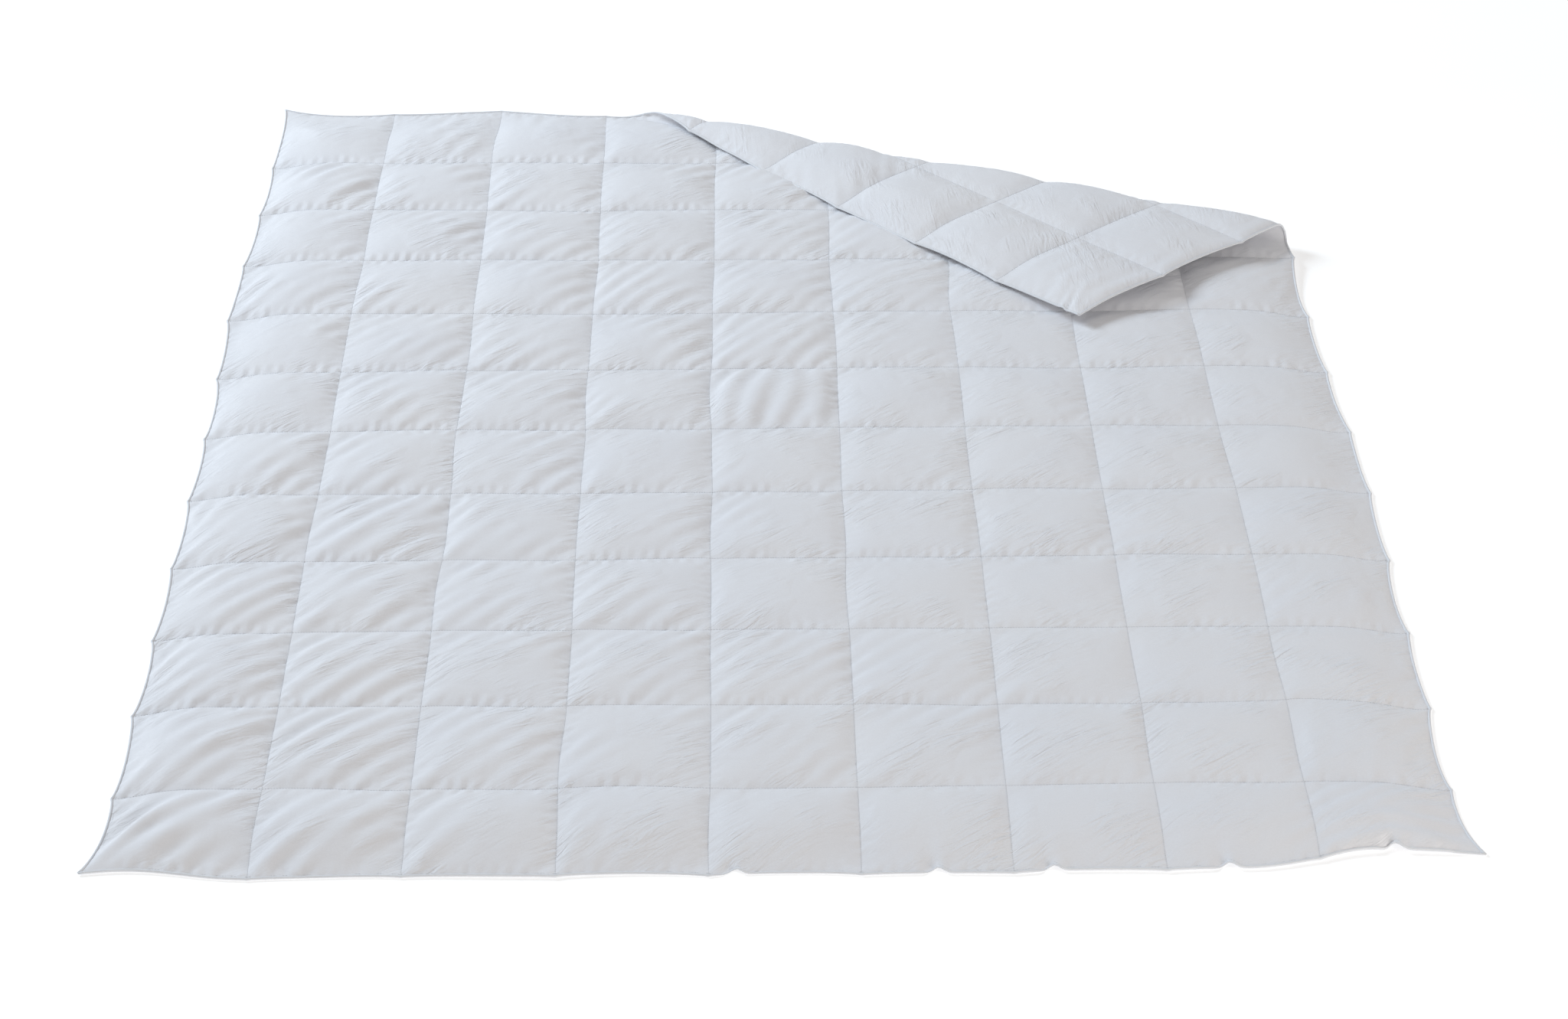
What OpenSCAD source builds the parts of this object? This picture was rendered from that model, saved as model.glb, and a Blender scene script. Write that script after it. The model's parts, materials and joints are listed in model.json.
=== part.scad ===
// Box-quilted duvet, lying flat with its far right corner folded back over the top.
//
// The near edge is towards -Y and +Z is up. The origin is under the middle of the
// flat quilt, at the level that it lies on. Three bodies make up the duvet: the flat
// field, the folded corner, and the half-round turn that joins them along the crease.
// Each is the same sandwich: a top cover, a bottom cover, and a pad of filling in
// every box, held by straight seams sewn through both covers.

/* [Overall size] */
// Width between the side edges, inside the piping
width = 1550; // [1290:10:1860]
// Length between the near and far edges, inside the piping
length = 2000; // [1660:10:2400]
// Thickness through the crown of a filled box
loft = 28; // [20:1:36]

/* [Quilting] */
// Boxes across the width
columns = 9; // [6:1:11]
// Boxes along the length
rows = 12; // [8:1:14]
// Depth of the row of boxes at the near edge, which is cut shorter
near_row_depth = 145; // [120:5:175]
// Width of the flat land at a seam between two boxes
seam_land = 6; // [4:0.5:10]
// Width of the flat land inside the outer edges
edge_land = 8; // [6:0.5:12]
// Run of the slope from a land up to the crown of a box
slope_run = 40; // [25:1:50]

/* [Cloth and filling] */
// Thickness of one cover
cover_thick = 0.6; // [0.4:0.1:1.2]
// Clearance between the filling and the covers around it
fill_gap = 0.2; // [0.1:0.1:0.6]
// Diameter of the piping sewn into the outer edges
piping_d = 5; // [3:0.5:8]
// Width of a line of stitching
thread_width = 1.2; // [0.8:0.1:2]
// Height of a line of stitching above the cover
thread_height = 0.4; // [0.2:0.1:0.8]
// Distance from the outer edge to the line of edge stitching
edge_stitch_inset = 3; // [2:0.5:4.5]

/* [Folded corner] */
// Length of the far edge that is folded over, measured to the top of the turn
fold_along_far = 970; // [780:10:1180]
// Length of the right edge that is folded over, measured to the top of the turn
fold_along_side = 445; // [370:5:560]
// Air gap between the folded corner and the field below it
layer_gap = 2; // [1:0.5:8]
// Clearance between the ends of the turn and the pieces that it joins
turn_clearance = 0.3; // [0.2:0.1:1]

/* [Hidden] */
// Steps around the half-round of the turn, and sides of the piping on it
turn_steps = 24;
piping_sides = 16;
// Reach of the cutting blocks, beyond any edge of the quilt
reach = width + length;
// Overlap that carries a cut clear through a face
cut_through = 1;

half_width = width / 2;
half_length = length / 2;
mid = loft / 2;
column_pitch = width / columns;
row_pitch = (length - near_row_depth) / (rows - 1);

// Rise of the inside of a cover from the seam plane to the crown, and its steepness
inner_rise = mid - cover_thick;
slope = inner_rise / slope_run;

// Seam lines across the width and along the length, with the two edges at the ends
column_lines = [for (i = [0 : columns]) i * column_pitch - half_width];
row_lines = [-half_length, for (i = [0 : rows - 1]) near_row_depth + i * row_pitch - half_length];

// The crease: its direction, the outward direction square to it, and where it lies
crease_length = norm([fold_along_far, fold_along_side]);
along = [fold_along_far, -fold_along_side] / crease_length;
outward = [fold_along_side, fold_along_far] / crease_length;
crease_angle = atan2(along.y, along.x);
bend_radius = (loft + layer_gap) / 2;
bend_length = PI * bend_radius;
apex = outward * [half_width, half_length - fold_along_side];
bend_start = apex - bend_length / 2;
bend_end = apex + bend_length / 2;
bend_height = mid + bend_radius;

// Rows of boxes, counted from the near edge, with filling beyond the end of the bend
fill_rim = fill_gap / slope;
corner_limit = bend_end + turn_clearance;
corner_limit_y = (corner_limit - outward.x * (half_width - edge_land)) / outward.y;
corner_rows = [for (row = [1 : rows]) if (row_lines[row] - edge_land - fill_rim > corner_limit_y) row];

function two_digits(n) = n < 10 ? str("0", n) : str(n);
function fill_name(row) = str("fill_row_", two_digits(row));
function corner_fill_name(row) = str("corner_fill_row_", two_digits(row));

// Clear land on the low side and on the high side of box number i, counted from 0
function land_before(i) = i == 0 ? edge_land : seam_land / 2;
function land_after(i, count) = i == count - 1 ? edge_land : seam_land / 2;

// Outline of the upper skin of a whole row of boxes, from one edge to the other
function skin_outline(lines) =
    let (count = len(lines) - 1)
    [
        [lines[0], mid],
        [lines[0], mid + cover_thick],
        for (i = [0 : count - 1]) each [
            [lines[i] + land_before(i), mid + cover_thick],
            [lines[i] + land_before(i) + slope_run, loft],
            [lines[i + 1] - land_after(i, count) - slope_run, loft],
            [lines[i + 1] - land_after(i, count), mid + cover_thick]
        ],
        [lines[count], mid + cover_thick],
        [lines[count], mid]
    ];

// Outline of the hollow of one box under the upper skin, open through the seam plane
function hollow_outline(lines, i) =
    let (
        low = lines[i] + land_before(i),
        high = lines[i + 1] - land_after(i, len(lines) - 1)
    )
    [
        [low, mid - cut_through],
        [low, mid],
        [low + slope_run, loft - cover_thick],
        [high - slope_run, loft - cover_thick],
        [high, mid],
        [high, mid - cut_through]
    ];

// Outline of the filling of one box, tapering to the seam plane at its rim
function fill_outline(lines, i) =
    let (
        low = lines[i] + land_before(i),
        high = lines[i + 1] - land_after(i, len(lines) - 1),
        crown = inner_rise - fill_gap
    )
    [
        [low + fill_rim, mid],
        [low + slope_run, mid + crown],
        [high - slope_run, mid + crown],
        [high - fill_rim, mid],
        [high - slope_run, mid - crown],
        [low + slope_run, mid - crown]
    ];

// A bar along the length with the given outline across the width
module lengthwise_bar(outline) {
    translate([0, reach / 2, 0])
        rotate([90, 0, 0])
            linear_extrude(height = reach)
                polygon(outline);
}

// A bar across the width with the given outline along the length
module crosswise_bar(outline) {
    translate([-reach / 2, 0, 0])
        rotate([90, 0, 90])
            linear_extrude(height = reach)
                polygon(outline);
}

// One flat cover, above the seam plane
module upper_skin() {
    difference() {
        intersection() {
            lengthwise_bar(skin_outline(column_lines));
            crosswise_bar(skin_outline(row_lines));
        }
        intersection() {
            union() {
                for (i = [0 : columns - 1]) lengthwise_bar(hollow_outline(column_lines, i));
            }
            union() {
                for (i = [0 : rows - 1]) crosswise_bar(hollow_outline(row_lines, i));
            }
        }
    }
}

// Turns what is above the seam plane over to below it
module below_seam_plane() {
    translate([0, 0, mid])
        mirror([0, 0, 1])
            translate([0, 0, -mid])
                children();
}

// The filling of one row of boxes, a separate pad in each
module fill_row(row) {
    intersection() {
        union() {
            for (i = [0 : columns - 1]) lengthwise_bar(fill_outline(column_lines, i));
        }
        crosswise_bar(fill_outline(row_lines, row - 1));
    }
}

// A straight line of stitching on both faces of the quilt, from one point to another
module stitch_line(start, end) {
    run = end - start;
    for (level = [mid + cover_thick, mid - cover_thick - thread_height])
        translate([start.x, start.y, level])
            rotate([0, 0, atan2(run.y, run.x)])
                translate([0, -thread_width / 2, 0])
                    cube([norm(run), thread_width, thread_height]);
}

// Seams that run from the near edge to the far edge
module all_lengthwise_seams() {
    for (i = [1 : columns - 1])
        stitch_line(
            [column_lines[i], -half_length + edge_land],
            [column_lines[i], half_length - edge_land]
        );
}

// Seams that run from side to side, broken where a lengthwise seam crosses them
module all_crosswise_seams() {
    for (j = [1 : rows - 1])
        for (i = [0 : columns - 1]) {
            start = column_lines[i] + (i == 0 ? edge_land : thread_width);
            end = column_lines[i + 1] - (i == columns - 1 ? edge_land : thread_width);
            stitch_line([start, row_lines[j]], [end, row_lines[j]]);
        }
}

// Stitching around the outer edge, through both covers and the lip of the piping
module all_edge_stitching() {
    x = half_width - edge_stitch_inset;
    y = half_length - edge_stitch_inset;
    for (side = [-1, 1]) {
        stitch_line([-x + thread_width, side * y], [x - thread_width, side * y]);
        stitch_line([side * x, -y], [side * x, y]);
    }
}

// Piping along a side edge, side being -1 at the left and 1 at the right
module side_piping(side) {
    run = length + 2 * piping_d;
    translate([side * (half_width + piping_d / 2), run / 2, mid])
        rotate([90, 0, 0])
            cylinder(h = run, d = piping_d, $fn = 48);
}

// Piping along an end edge, end being -1 at the near one and 1 at the far one
module end_piping(end) {
    translate([-half_width, end * (half_length + piping_d / 2), mid])
        rotate([0, 90, 0])
            cylinder(h = width, d = piping_d, $fn = 48);
}

// Everything further out than a line along the crease
module beyond(line) {
    rotate([0, 0, atan2(outward.y, outward.x)])
        translate([line, -reach, -reach])
            cube([reach, 2 * reach, 2 * reach]);
}

// Keeps the part of a flat piece that stays in the field
module field_part() {
    difference() {
        children();
        beyond(bend_start - turn_clearance);
    }
}

// Keeps the part of a flat piece that is in the corner, and folds it over the field
module corner_part() {
    pivot = [apex * outward.x, apex * outward.y, bend_height];
    translate(pivot)
        rotate([0, 0, crease_angle])
            rotate([180, 0, 0])
                rotate([0, 0, -crease_angle])
                    translate(-pivot)
                        intersection() {
                            children();
                            beyond(corner_limit);
                        }
}

// Where the far edge and the right edge cross the crease's direction, an arc length
// out from the start of the bend
function far_end(arc) = (half_length - outward.y * (bend_start + arc)) / along.y;
function right_end(arc) = (half_width - outward.x * (bend_start + arc)) / along.x;

// A point on the turn: u along the crease, r from the bend's centre line, arc from its start
function turn_point(u, r, arc) =
    let (
        angle = arc / bend_length * 180,
        out = bend_start + r * sin(angle),
        flat = out * outward + u * along
    )
    [flat.x, flat.y, bend_height - r * cos(angle)];

// A solid bent around the turn, from a function that gives its section at an arc length
module bent(section) {
    rings = [
        for (k = [0 : turn_steps])
            let (arc = k * bend_length / turn_steps)
            [for (p = section(arc)) turn_point(p[0], p[1], arc)]
    ];
    sides = len(rings[0]);
    polyhedron(
        points = [for (ring = rings) each ring],
        faces = [
            [for (i = [sides - 1 : -1 : 0]) i],
            [for (i = [0 : sides - 1]) turn_steps * sides + i],
            for (k = [0 : turn_steps - 1])
                for (i = [0 : sides - 1])
                    let (
                        a = k * sides + i,
                        b = k * sides + (i + 1) % sides
                    )
                    each [[a, b, b + sides], [a, b + sides, a + sides]]
        ],
        convexity = 4
    );
}

// A layer of the turn between two radii, held in from both outer edges
module bent_layer(inner_r, outer_r, inset) {
    bent(function (arc)
        let (start = far_end(arc) + inset, end = right_end(arc) - inset)
        [[start, inner_r], [start, outer_r], [end, outer_r], [end, inner_r]]);
}

// Piping on the turn, outside the edge whose place is given, away being -1 or 1
module bent_piping(edge, away) {
    bent(function (arc)
        [for (i = [0 : piping_sides - 1])
            let (a = -away * i * 360 / piping_sides)
            [
                edge(arc) + away * piping_d / 2 * (1 + cos(a)),
                bend_radius + piping_d / 2 * sin(a)
            ]]);
}

// Top cover of the field
module top_cover() {
    color("white") field_part() upper_skin();
}

// Bottom cover of the field
module bottom_cover() {
    color("whitesmoke") field_part() below_seam_plane() upper_skin();
}

// Lengthwise quilting seams of the field
module lengthwise_seams() {
    color("gainsboro") field_part() all_lengthwise_seams();
}

// Crosswise quilting seams of the field
module crosswise_seams() {
    color("gainsboro") field_part() all_crosswise_seams();
}

// Edge stitching of the field
module edge_stitching() {
    color("gainsboro") field_part() all_edge_stitching();
}

// Piping of the near edge
module piping_near() {
    color("snow") end_piping(-1);
}

// Piping of the left edge
module piping_left() {
    color("snow") side_piping(-1);
}

// Piping of the right edge as far as the turn
module piping_right() {
    color("snow") field_part() side_piping(1);
}

// Piping of the far edge as far as the turn
module piping_far() {
    color("snow") field_part() end_piping(1);
}

// Filling of one row of boxes in the field
module field_fill(row) {
    color("ivory") field_part() fill_row(row);
}

// Top cover on the inside of the turn
module turn_top_cover() {
    inner_r = bend_radius - loft / 2;
    color("white") bent_layer(inner_r, inner_r + cover_thick, 0);
}

// Bottom cover around the outside of the turn
module turn_bottom_cover() {
    outer_r = bend_radius + loft / 2;
    color("whitesmoke") bent_layer(outer_r - cover_thick, outer_r, 0);
}

// Filling inside the turn
module turn_fill() {
    half_fill = loft / 2 - cover_thick - fill_gap;
    color("ivory") bent_layer(bend_radius - half_fill, bend_radius + half_fill, edge_land);
}

// Piping of the far edge around the turn
module turn_piping_far() {
    color("snow") bent_piping(function (arc) far_end(arc), -1);
}

// Piping of the right edge around the turn
module turn_piping_right() {
    color("snow") bent_piping(function (arc) right_end(arc), 1);
}

// Top cover of the folded corner, which faces down on the field
module corner_top_cover() {
    color("white") corner_part() upper_skin();
}

// Bottom cover of the folded corner, which faces up
module corner_bottom_cover() {
    color("whitesmoke") corner_part() below_seam_plane() upper_skin();
}

// Lengthwise quilting seams of the folded corner
module corner_lengthwise_seams() {
    color("gainsboro") corner_part() all_lengthwise_seams();
}

// Crosswise quilting seams of the folded corner
module corner_crosswise_seams() {
    color("gainsboro") corner_part() all_crosswise_seams();
}

// Edge stitching of the folded corner
module corner_edge_stitching() {
    color("gainsboro") corner_part() all_edge_stitching();
}

// Piping of the right edge on the folded corner
module corner_piping_right() {
    color("snow") corner_part() side_piping(1);
}

// Piping of the far edge on the folded corner
module corner_piping_far() {
    color("snow") corner_part() end_piping(1);
}

// Filling of one row of boxes in the folded corner
module corner_fill(row) {
    color("ivory") corner_part() fill_row(row);
}

top_cover();
bottom_cover();
lengthwise_seams();
crosswise_seams();
edge_stitching();
piping_near();
piping_left();
piping_right();
piping_far();
turn_top_cover();
turn_bottom_cover();
turn_fill();
turn_piping_far();
turn_piping_right();
corner_top_cover();
corner_bottom_cover();
corner_lengthwise_seams();
corner_crosswise_seams();
corner_edge_stitching();
corner_piping_right();
corner_piping_far();
for (row = [1 : rows])
    field_fill(row);
for (row = corner_rows)
    corner_fill(row);
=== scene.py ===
import json
import logging
from collections.abc import Callable, Iterable, Sequence
from dataclasses import dataclass, field
from enum import Enum

import bpy
import numpy as np
from mathutils import Vector
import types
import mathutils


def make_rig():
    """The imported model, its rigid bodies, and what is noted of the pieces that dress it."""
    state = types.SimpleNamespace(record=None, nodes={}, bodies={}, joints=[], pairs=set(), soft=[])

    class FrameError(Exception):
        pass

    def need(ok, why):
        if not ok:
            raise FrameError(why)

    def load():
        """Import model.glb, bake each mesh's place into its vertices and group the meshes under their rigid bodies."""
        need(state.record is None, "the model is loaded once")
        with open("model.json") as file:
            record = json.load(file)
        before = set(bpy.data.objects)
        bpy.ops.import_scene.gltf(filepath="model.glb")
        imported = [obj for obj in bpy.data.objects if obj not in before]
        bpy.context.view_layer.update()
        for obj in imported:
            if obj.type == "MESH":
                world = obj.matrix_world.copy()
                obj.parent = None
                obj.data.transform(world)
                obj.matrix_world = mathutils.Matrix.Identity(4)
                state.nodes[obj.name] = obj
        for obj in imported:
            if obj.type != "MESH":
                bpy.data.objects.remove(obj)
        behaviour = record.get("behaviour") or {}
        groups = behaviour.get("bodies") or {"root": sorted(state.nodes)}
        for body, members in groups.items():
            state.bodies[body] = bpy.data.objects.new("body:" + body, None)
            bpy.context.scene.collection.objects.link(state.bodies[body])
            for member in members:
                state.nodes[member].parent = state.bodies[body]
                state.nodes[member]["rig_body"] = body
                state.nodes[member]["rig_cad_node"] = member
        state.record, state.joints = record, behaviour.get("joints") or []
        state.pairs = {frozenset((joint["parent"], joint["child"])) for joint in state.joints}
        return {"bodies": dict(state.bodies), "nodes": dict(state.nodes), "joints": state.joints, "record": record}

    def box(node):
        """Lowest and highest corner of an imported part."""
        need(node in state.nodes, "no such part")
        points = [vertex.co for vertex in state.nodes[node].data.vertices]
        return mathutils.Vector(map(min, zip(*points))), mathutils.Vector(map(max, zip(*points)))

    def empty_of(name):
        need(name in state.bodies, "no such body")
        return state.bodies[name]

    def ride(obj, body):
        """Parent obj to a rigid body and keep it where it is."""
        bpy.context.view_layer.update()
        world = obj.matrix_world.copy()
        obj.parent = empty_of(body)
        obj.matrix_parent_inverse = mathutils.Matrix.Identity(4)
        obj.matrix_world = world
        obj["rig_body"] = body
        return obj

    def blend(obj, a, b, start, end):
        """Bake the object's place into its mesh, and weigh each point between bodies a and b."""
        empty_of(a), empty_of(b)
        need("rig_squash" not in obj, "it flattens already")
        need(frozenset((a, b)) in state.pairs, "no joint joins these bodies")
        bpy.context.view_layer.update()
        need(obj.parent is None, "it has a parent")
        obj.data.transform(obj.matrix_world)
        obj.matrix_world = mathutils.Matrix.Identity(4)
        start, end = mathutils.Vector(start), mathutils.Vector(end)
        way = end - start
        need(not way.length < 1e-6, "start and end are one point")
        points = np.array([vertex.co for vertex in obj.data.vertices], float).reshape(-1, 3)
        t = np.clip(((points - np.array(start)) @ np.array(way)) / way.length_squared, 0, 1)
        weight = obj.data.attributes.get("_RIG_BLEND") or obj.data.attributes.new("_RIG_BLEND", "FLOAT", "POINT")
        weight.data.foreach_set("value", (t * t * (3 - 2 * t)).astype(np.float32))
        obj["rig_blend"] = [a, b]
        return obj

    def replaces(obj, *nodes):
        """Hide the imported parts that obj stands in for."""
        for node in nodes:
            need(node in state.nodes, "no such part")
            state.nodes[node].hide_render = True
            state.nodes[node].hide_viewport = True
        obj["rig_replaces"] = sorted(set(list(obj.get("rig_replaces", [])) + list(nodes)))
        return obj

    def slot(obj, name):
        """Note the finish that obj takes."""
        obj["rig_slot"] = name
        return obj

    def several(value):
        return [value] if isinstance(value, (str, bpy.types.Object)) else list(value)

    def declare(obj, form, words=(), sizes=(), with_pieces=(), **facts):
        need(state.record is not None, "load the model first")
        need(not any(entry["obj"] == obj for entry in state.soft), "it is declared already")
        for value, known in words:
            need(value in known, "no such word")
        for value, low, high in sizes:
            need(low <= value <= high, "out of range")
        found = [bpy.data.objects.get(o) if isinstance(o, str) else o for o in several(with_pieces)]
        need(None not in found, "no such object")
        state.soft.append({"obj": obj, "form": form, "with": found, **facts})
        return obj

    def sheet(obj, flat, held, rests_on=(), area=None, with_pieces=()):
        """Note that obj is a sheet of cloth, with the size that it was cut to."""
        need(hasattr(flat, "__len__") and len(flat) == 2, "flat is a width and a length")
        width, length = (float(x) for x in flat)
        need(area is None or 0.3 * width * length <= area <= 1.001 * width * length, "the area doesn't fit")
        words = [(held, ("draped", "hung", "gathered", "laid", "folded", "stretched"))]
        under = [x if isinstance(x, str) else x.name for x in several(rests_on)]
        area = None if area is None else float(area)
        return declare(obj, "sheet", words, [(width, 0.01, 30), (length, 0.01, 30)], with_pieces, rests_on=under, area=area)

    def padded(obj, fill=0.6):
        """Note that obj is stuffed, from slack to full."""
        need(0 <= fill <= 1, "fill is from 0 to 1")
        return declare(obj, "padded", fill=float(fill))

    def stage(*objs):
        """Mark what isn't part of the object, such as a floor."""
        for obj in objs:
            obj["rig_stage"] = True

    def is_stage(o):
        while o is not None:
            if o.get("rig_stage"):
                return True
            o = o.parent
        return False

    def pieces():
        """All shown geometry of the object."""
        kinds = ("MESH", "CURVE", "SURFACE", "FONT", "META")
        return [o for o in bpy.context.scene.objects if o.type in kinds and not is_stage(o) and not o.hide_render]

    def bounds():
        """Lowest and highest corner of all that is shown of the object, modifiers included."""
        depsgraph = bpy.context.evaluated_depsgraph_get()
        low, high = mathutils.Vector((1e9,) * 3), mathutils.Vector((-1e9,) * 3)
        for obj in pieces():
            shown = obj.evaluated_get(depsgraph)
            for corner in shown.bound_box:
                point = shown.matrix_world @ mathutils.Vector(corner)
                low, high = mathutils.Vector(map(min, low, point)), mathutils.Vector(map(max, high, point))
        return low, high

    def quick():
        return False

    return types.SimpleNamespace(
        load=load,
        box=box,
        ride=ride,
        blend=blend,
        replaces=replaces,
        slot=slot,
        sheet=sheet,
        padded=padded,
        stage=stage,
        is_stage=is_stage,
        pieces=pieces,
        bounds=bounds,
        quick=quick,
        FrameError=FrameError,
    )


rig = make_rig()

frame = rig.load()

LOG = logging.getLogger("duvet")
WAVE_PERIOD = 0.314  # of a wave texture whose scale is 1
SIZE_FILE = "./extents.json"
SAME_PLACE = 2e-5
EARS = {(-1, -1): (0.017, 0.004, 0), (1, -1): (0.017, 0.004, 0),
        (-1, 1): (0.004, 0.020, 0.004), (1, 1): (-0.004, -0.004, 0)}
EAR_REACH = 0.050
# How far each side edge bows out, and the middle and width of the bow along it.
SIDE_BOWS = {1: (0.011, -0.25, 0.30), -1: (0.009, 0.38, 0.25)}
BOW_START, BOW_RUN = 0.50, 0.27
# How far the near (-1) and far (1) edges move back, with the side of the middle, the place
# and the run over which each move sets in, and how far into the quilt it reaches.
END_MOVES = {-1: ((0.033, 1, 0.52, 0.15), (0.018, -1, 0.62, 0.13), (-0.008, 1, -1.0, 0.10)),
             1: ((0.034, -1, 0.15, 0.35),)}
END_REACH = {-1: 0.09, 1: 0.10}
# The scallops of the side and end edges between seams: least and greatest depth, and reach.
SIDE_SCALLOP, END_SCALLOP, SCALLOP_REACH = (0.0035, 0.0075), (0.0025, 0.006), 0.035
EDGE_REACH = 0.040
RIDGE_AT, RIDGE_SLANT, RIDGE_WIDTH, RIDGE_HEIGHT = 0.030, 0.5, 0.007, 0.0035
TUCK_DEPTH, TUCK_HEIGHT, TUCK_WIDTH = 0.0080, 0.0090, 0.009


class Face(Enum):
    """The two covers, with the way that each puffs away from the seams."""

    TOP = 1
    BOTTOM = -1


class Part(Enum):
    """The two sides of the fold's apex line."""

    FIELD = -1
    CORNER = 1


def smooth(t: np.ndarray | float) -> np.ndarray:
    """A smooth step from 0 to 1 as t goes from 0 to 1."""
    t = np.clip(t, 0, 1)
    return t * t * (3 - 2 * t)


def hill(t: np.ndarray | float) -> np.ndarray:
    """A bell of height 1 at 0 that has faded by about 2."""
    return np.exp(-np.square(t))


def grid_quads(shape: tuple[int, int]) -> np.ndarray:
    """The four-cornered faces of a grid.

    Args:
        shape: the number of grid points each way.

    Returns:
        The numbers of each face's four points, a row to a face.
    """
    index = np.arange(shape[0] * shape[1]).reshape(shape)
    quads = [index[:-1, :-1], index[:-1, 1:], index[1:, 1:], index[1:, :-1]]
    return np.stack(quads, -1).reshape(-1, 4)


def cut_faces(quads: np.ndarray, side: np.ndarray, data: np.ndarray,
              ) -> tuple[list[list[int]], np.ndarray]:
    """Cuts faces along a line and keeps what is on its positive side.

    Args:
        quads: the numbers of each face's points.
        side: the signed distance of each point from the line.
        data: a row of values for each point.

    Returns:
        The points of each face that is left, and the rows with those of the new points.
    """
    fresh, rings = [], []
    found: dict[tuple[int, int], int] = {}
    for quad in quads:
        ring = []
        for a, b in zip(quad, np.roll(quad, -1)):
            if side[a] >= 0:
                ring.append(int(a))
            if side[a] * side[b] < 0:
                key = (int(min(a, b)), int(max(a, b)))
                if key not in found:
                    t = side[key[0]] / (side[key[0]] - side[key[1]])
                    fresh.append(data[key[0]] + t * (data[key[1]] - data[key[0]]))
                    found[key] = len(data) + len(fresh) - 1
                ring.append(found[key])
        if len(ring) >= 3:
            rings.append(ring)
    return rings, np.concatenate([data, np.array(fresh)]) if fresh else data


@dataclass(frozen=True)
class QuiltPlan:
    """The flat quilt: its outline and its lines of quilting, in metres."""

    width: float
    length: float
    seam_height: float
    columns: int = 9
    rows: int = 12
    near_row: float = 0.145

    @classmethod
    def from_frame(cls) -> "QuiltPlan":
        """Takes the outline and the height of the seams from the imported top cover."""
        low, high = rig.box("top_cover")
        return cls(high[0] - low[0], high[1] - low[1], low[2])

    @property
    def column_lines(self) -> np.ndarray:
        """The x of both side edges and of the lengthwise seams between them."""
        return np.linspace(-self.width / 2, self.width / 2, self.columns + 1)

    @property
    def row_lines(self) -> np.ndarray:
        """The y of the near and far edges and of the crosswise seams between them.

        Returns:
            One y for each line, from near to far.
        """
        pitch = (self.length - self.near_row) / (self.rows - 1)
        rest = self.near_row + pitch * np.arange(self.rows)
        return np.concatenate([[0.0], rest]) - self.length / 2

    def inside(self, x: np.ndarray, y: np.ndarray) -> np.ndarray:
        """How far a flat point is inside the nearest edge, negative outside."""
        return np.minimum(self.width / 2 - np.abs(x), self.length / 2 - np.abs(y))


@dataclass(frozen=True)
class Noise:
    """Smooth random values over the quilt, the same each time.

    Attributes:
        scale: distance between independent values, in metres.
        seed: the fixed seed.
        strength: size of one standard deviation.
    """

    scale: float
    seed: int
    strength: float = 1.0

    def at(self, x: np.ndarray, y: np.ndarray) -> np.ndarray:
        """The value at each flat point.

        Args:
            x: x of flat points.
            y: their y.

        Returns:
            One value for each point.
        """
        reach = 1.6
        count = int(np.ceil(2 * reach / self.scale)) + 4
        lattice = np.random.default_rng(self.seed).standard_normal((count, count))
        u, v = (x + reach) / self.scale, (y + reach) / self.scale
        i, j = np.floor(u).astype(int), np.floor(v).astype(int)
        fu, fv = smooth(u - i), smooth(v - j)
        near = lattice[j, i] * (1 - fu) + lattice[j, i + 1] * fu
        far = lattice[j + 1, i] * (1 - fu) + lattice[j + 1, i + 1] * fu
        return self.strength * (near * (1 - fv) + far * fv)


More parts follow.
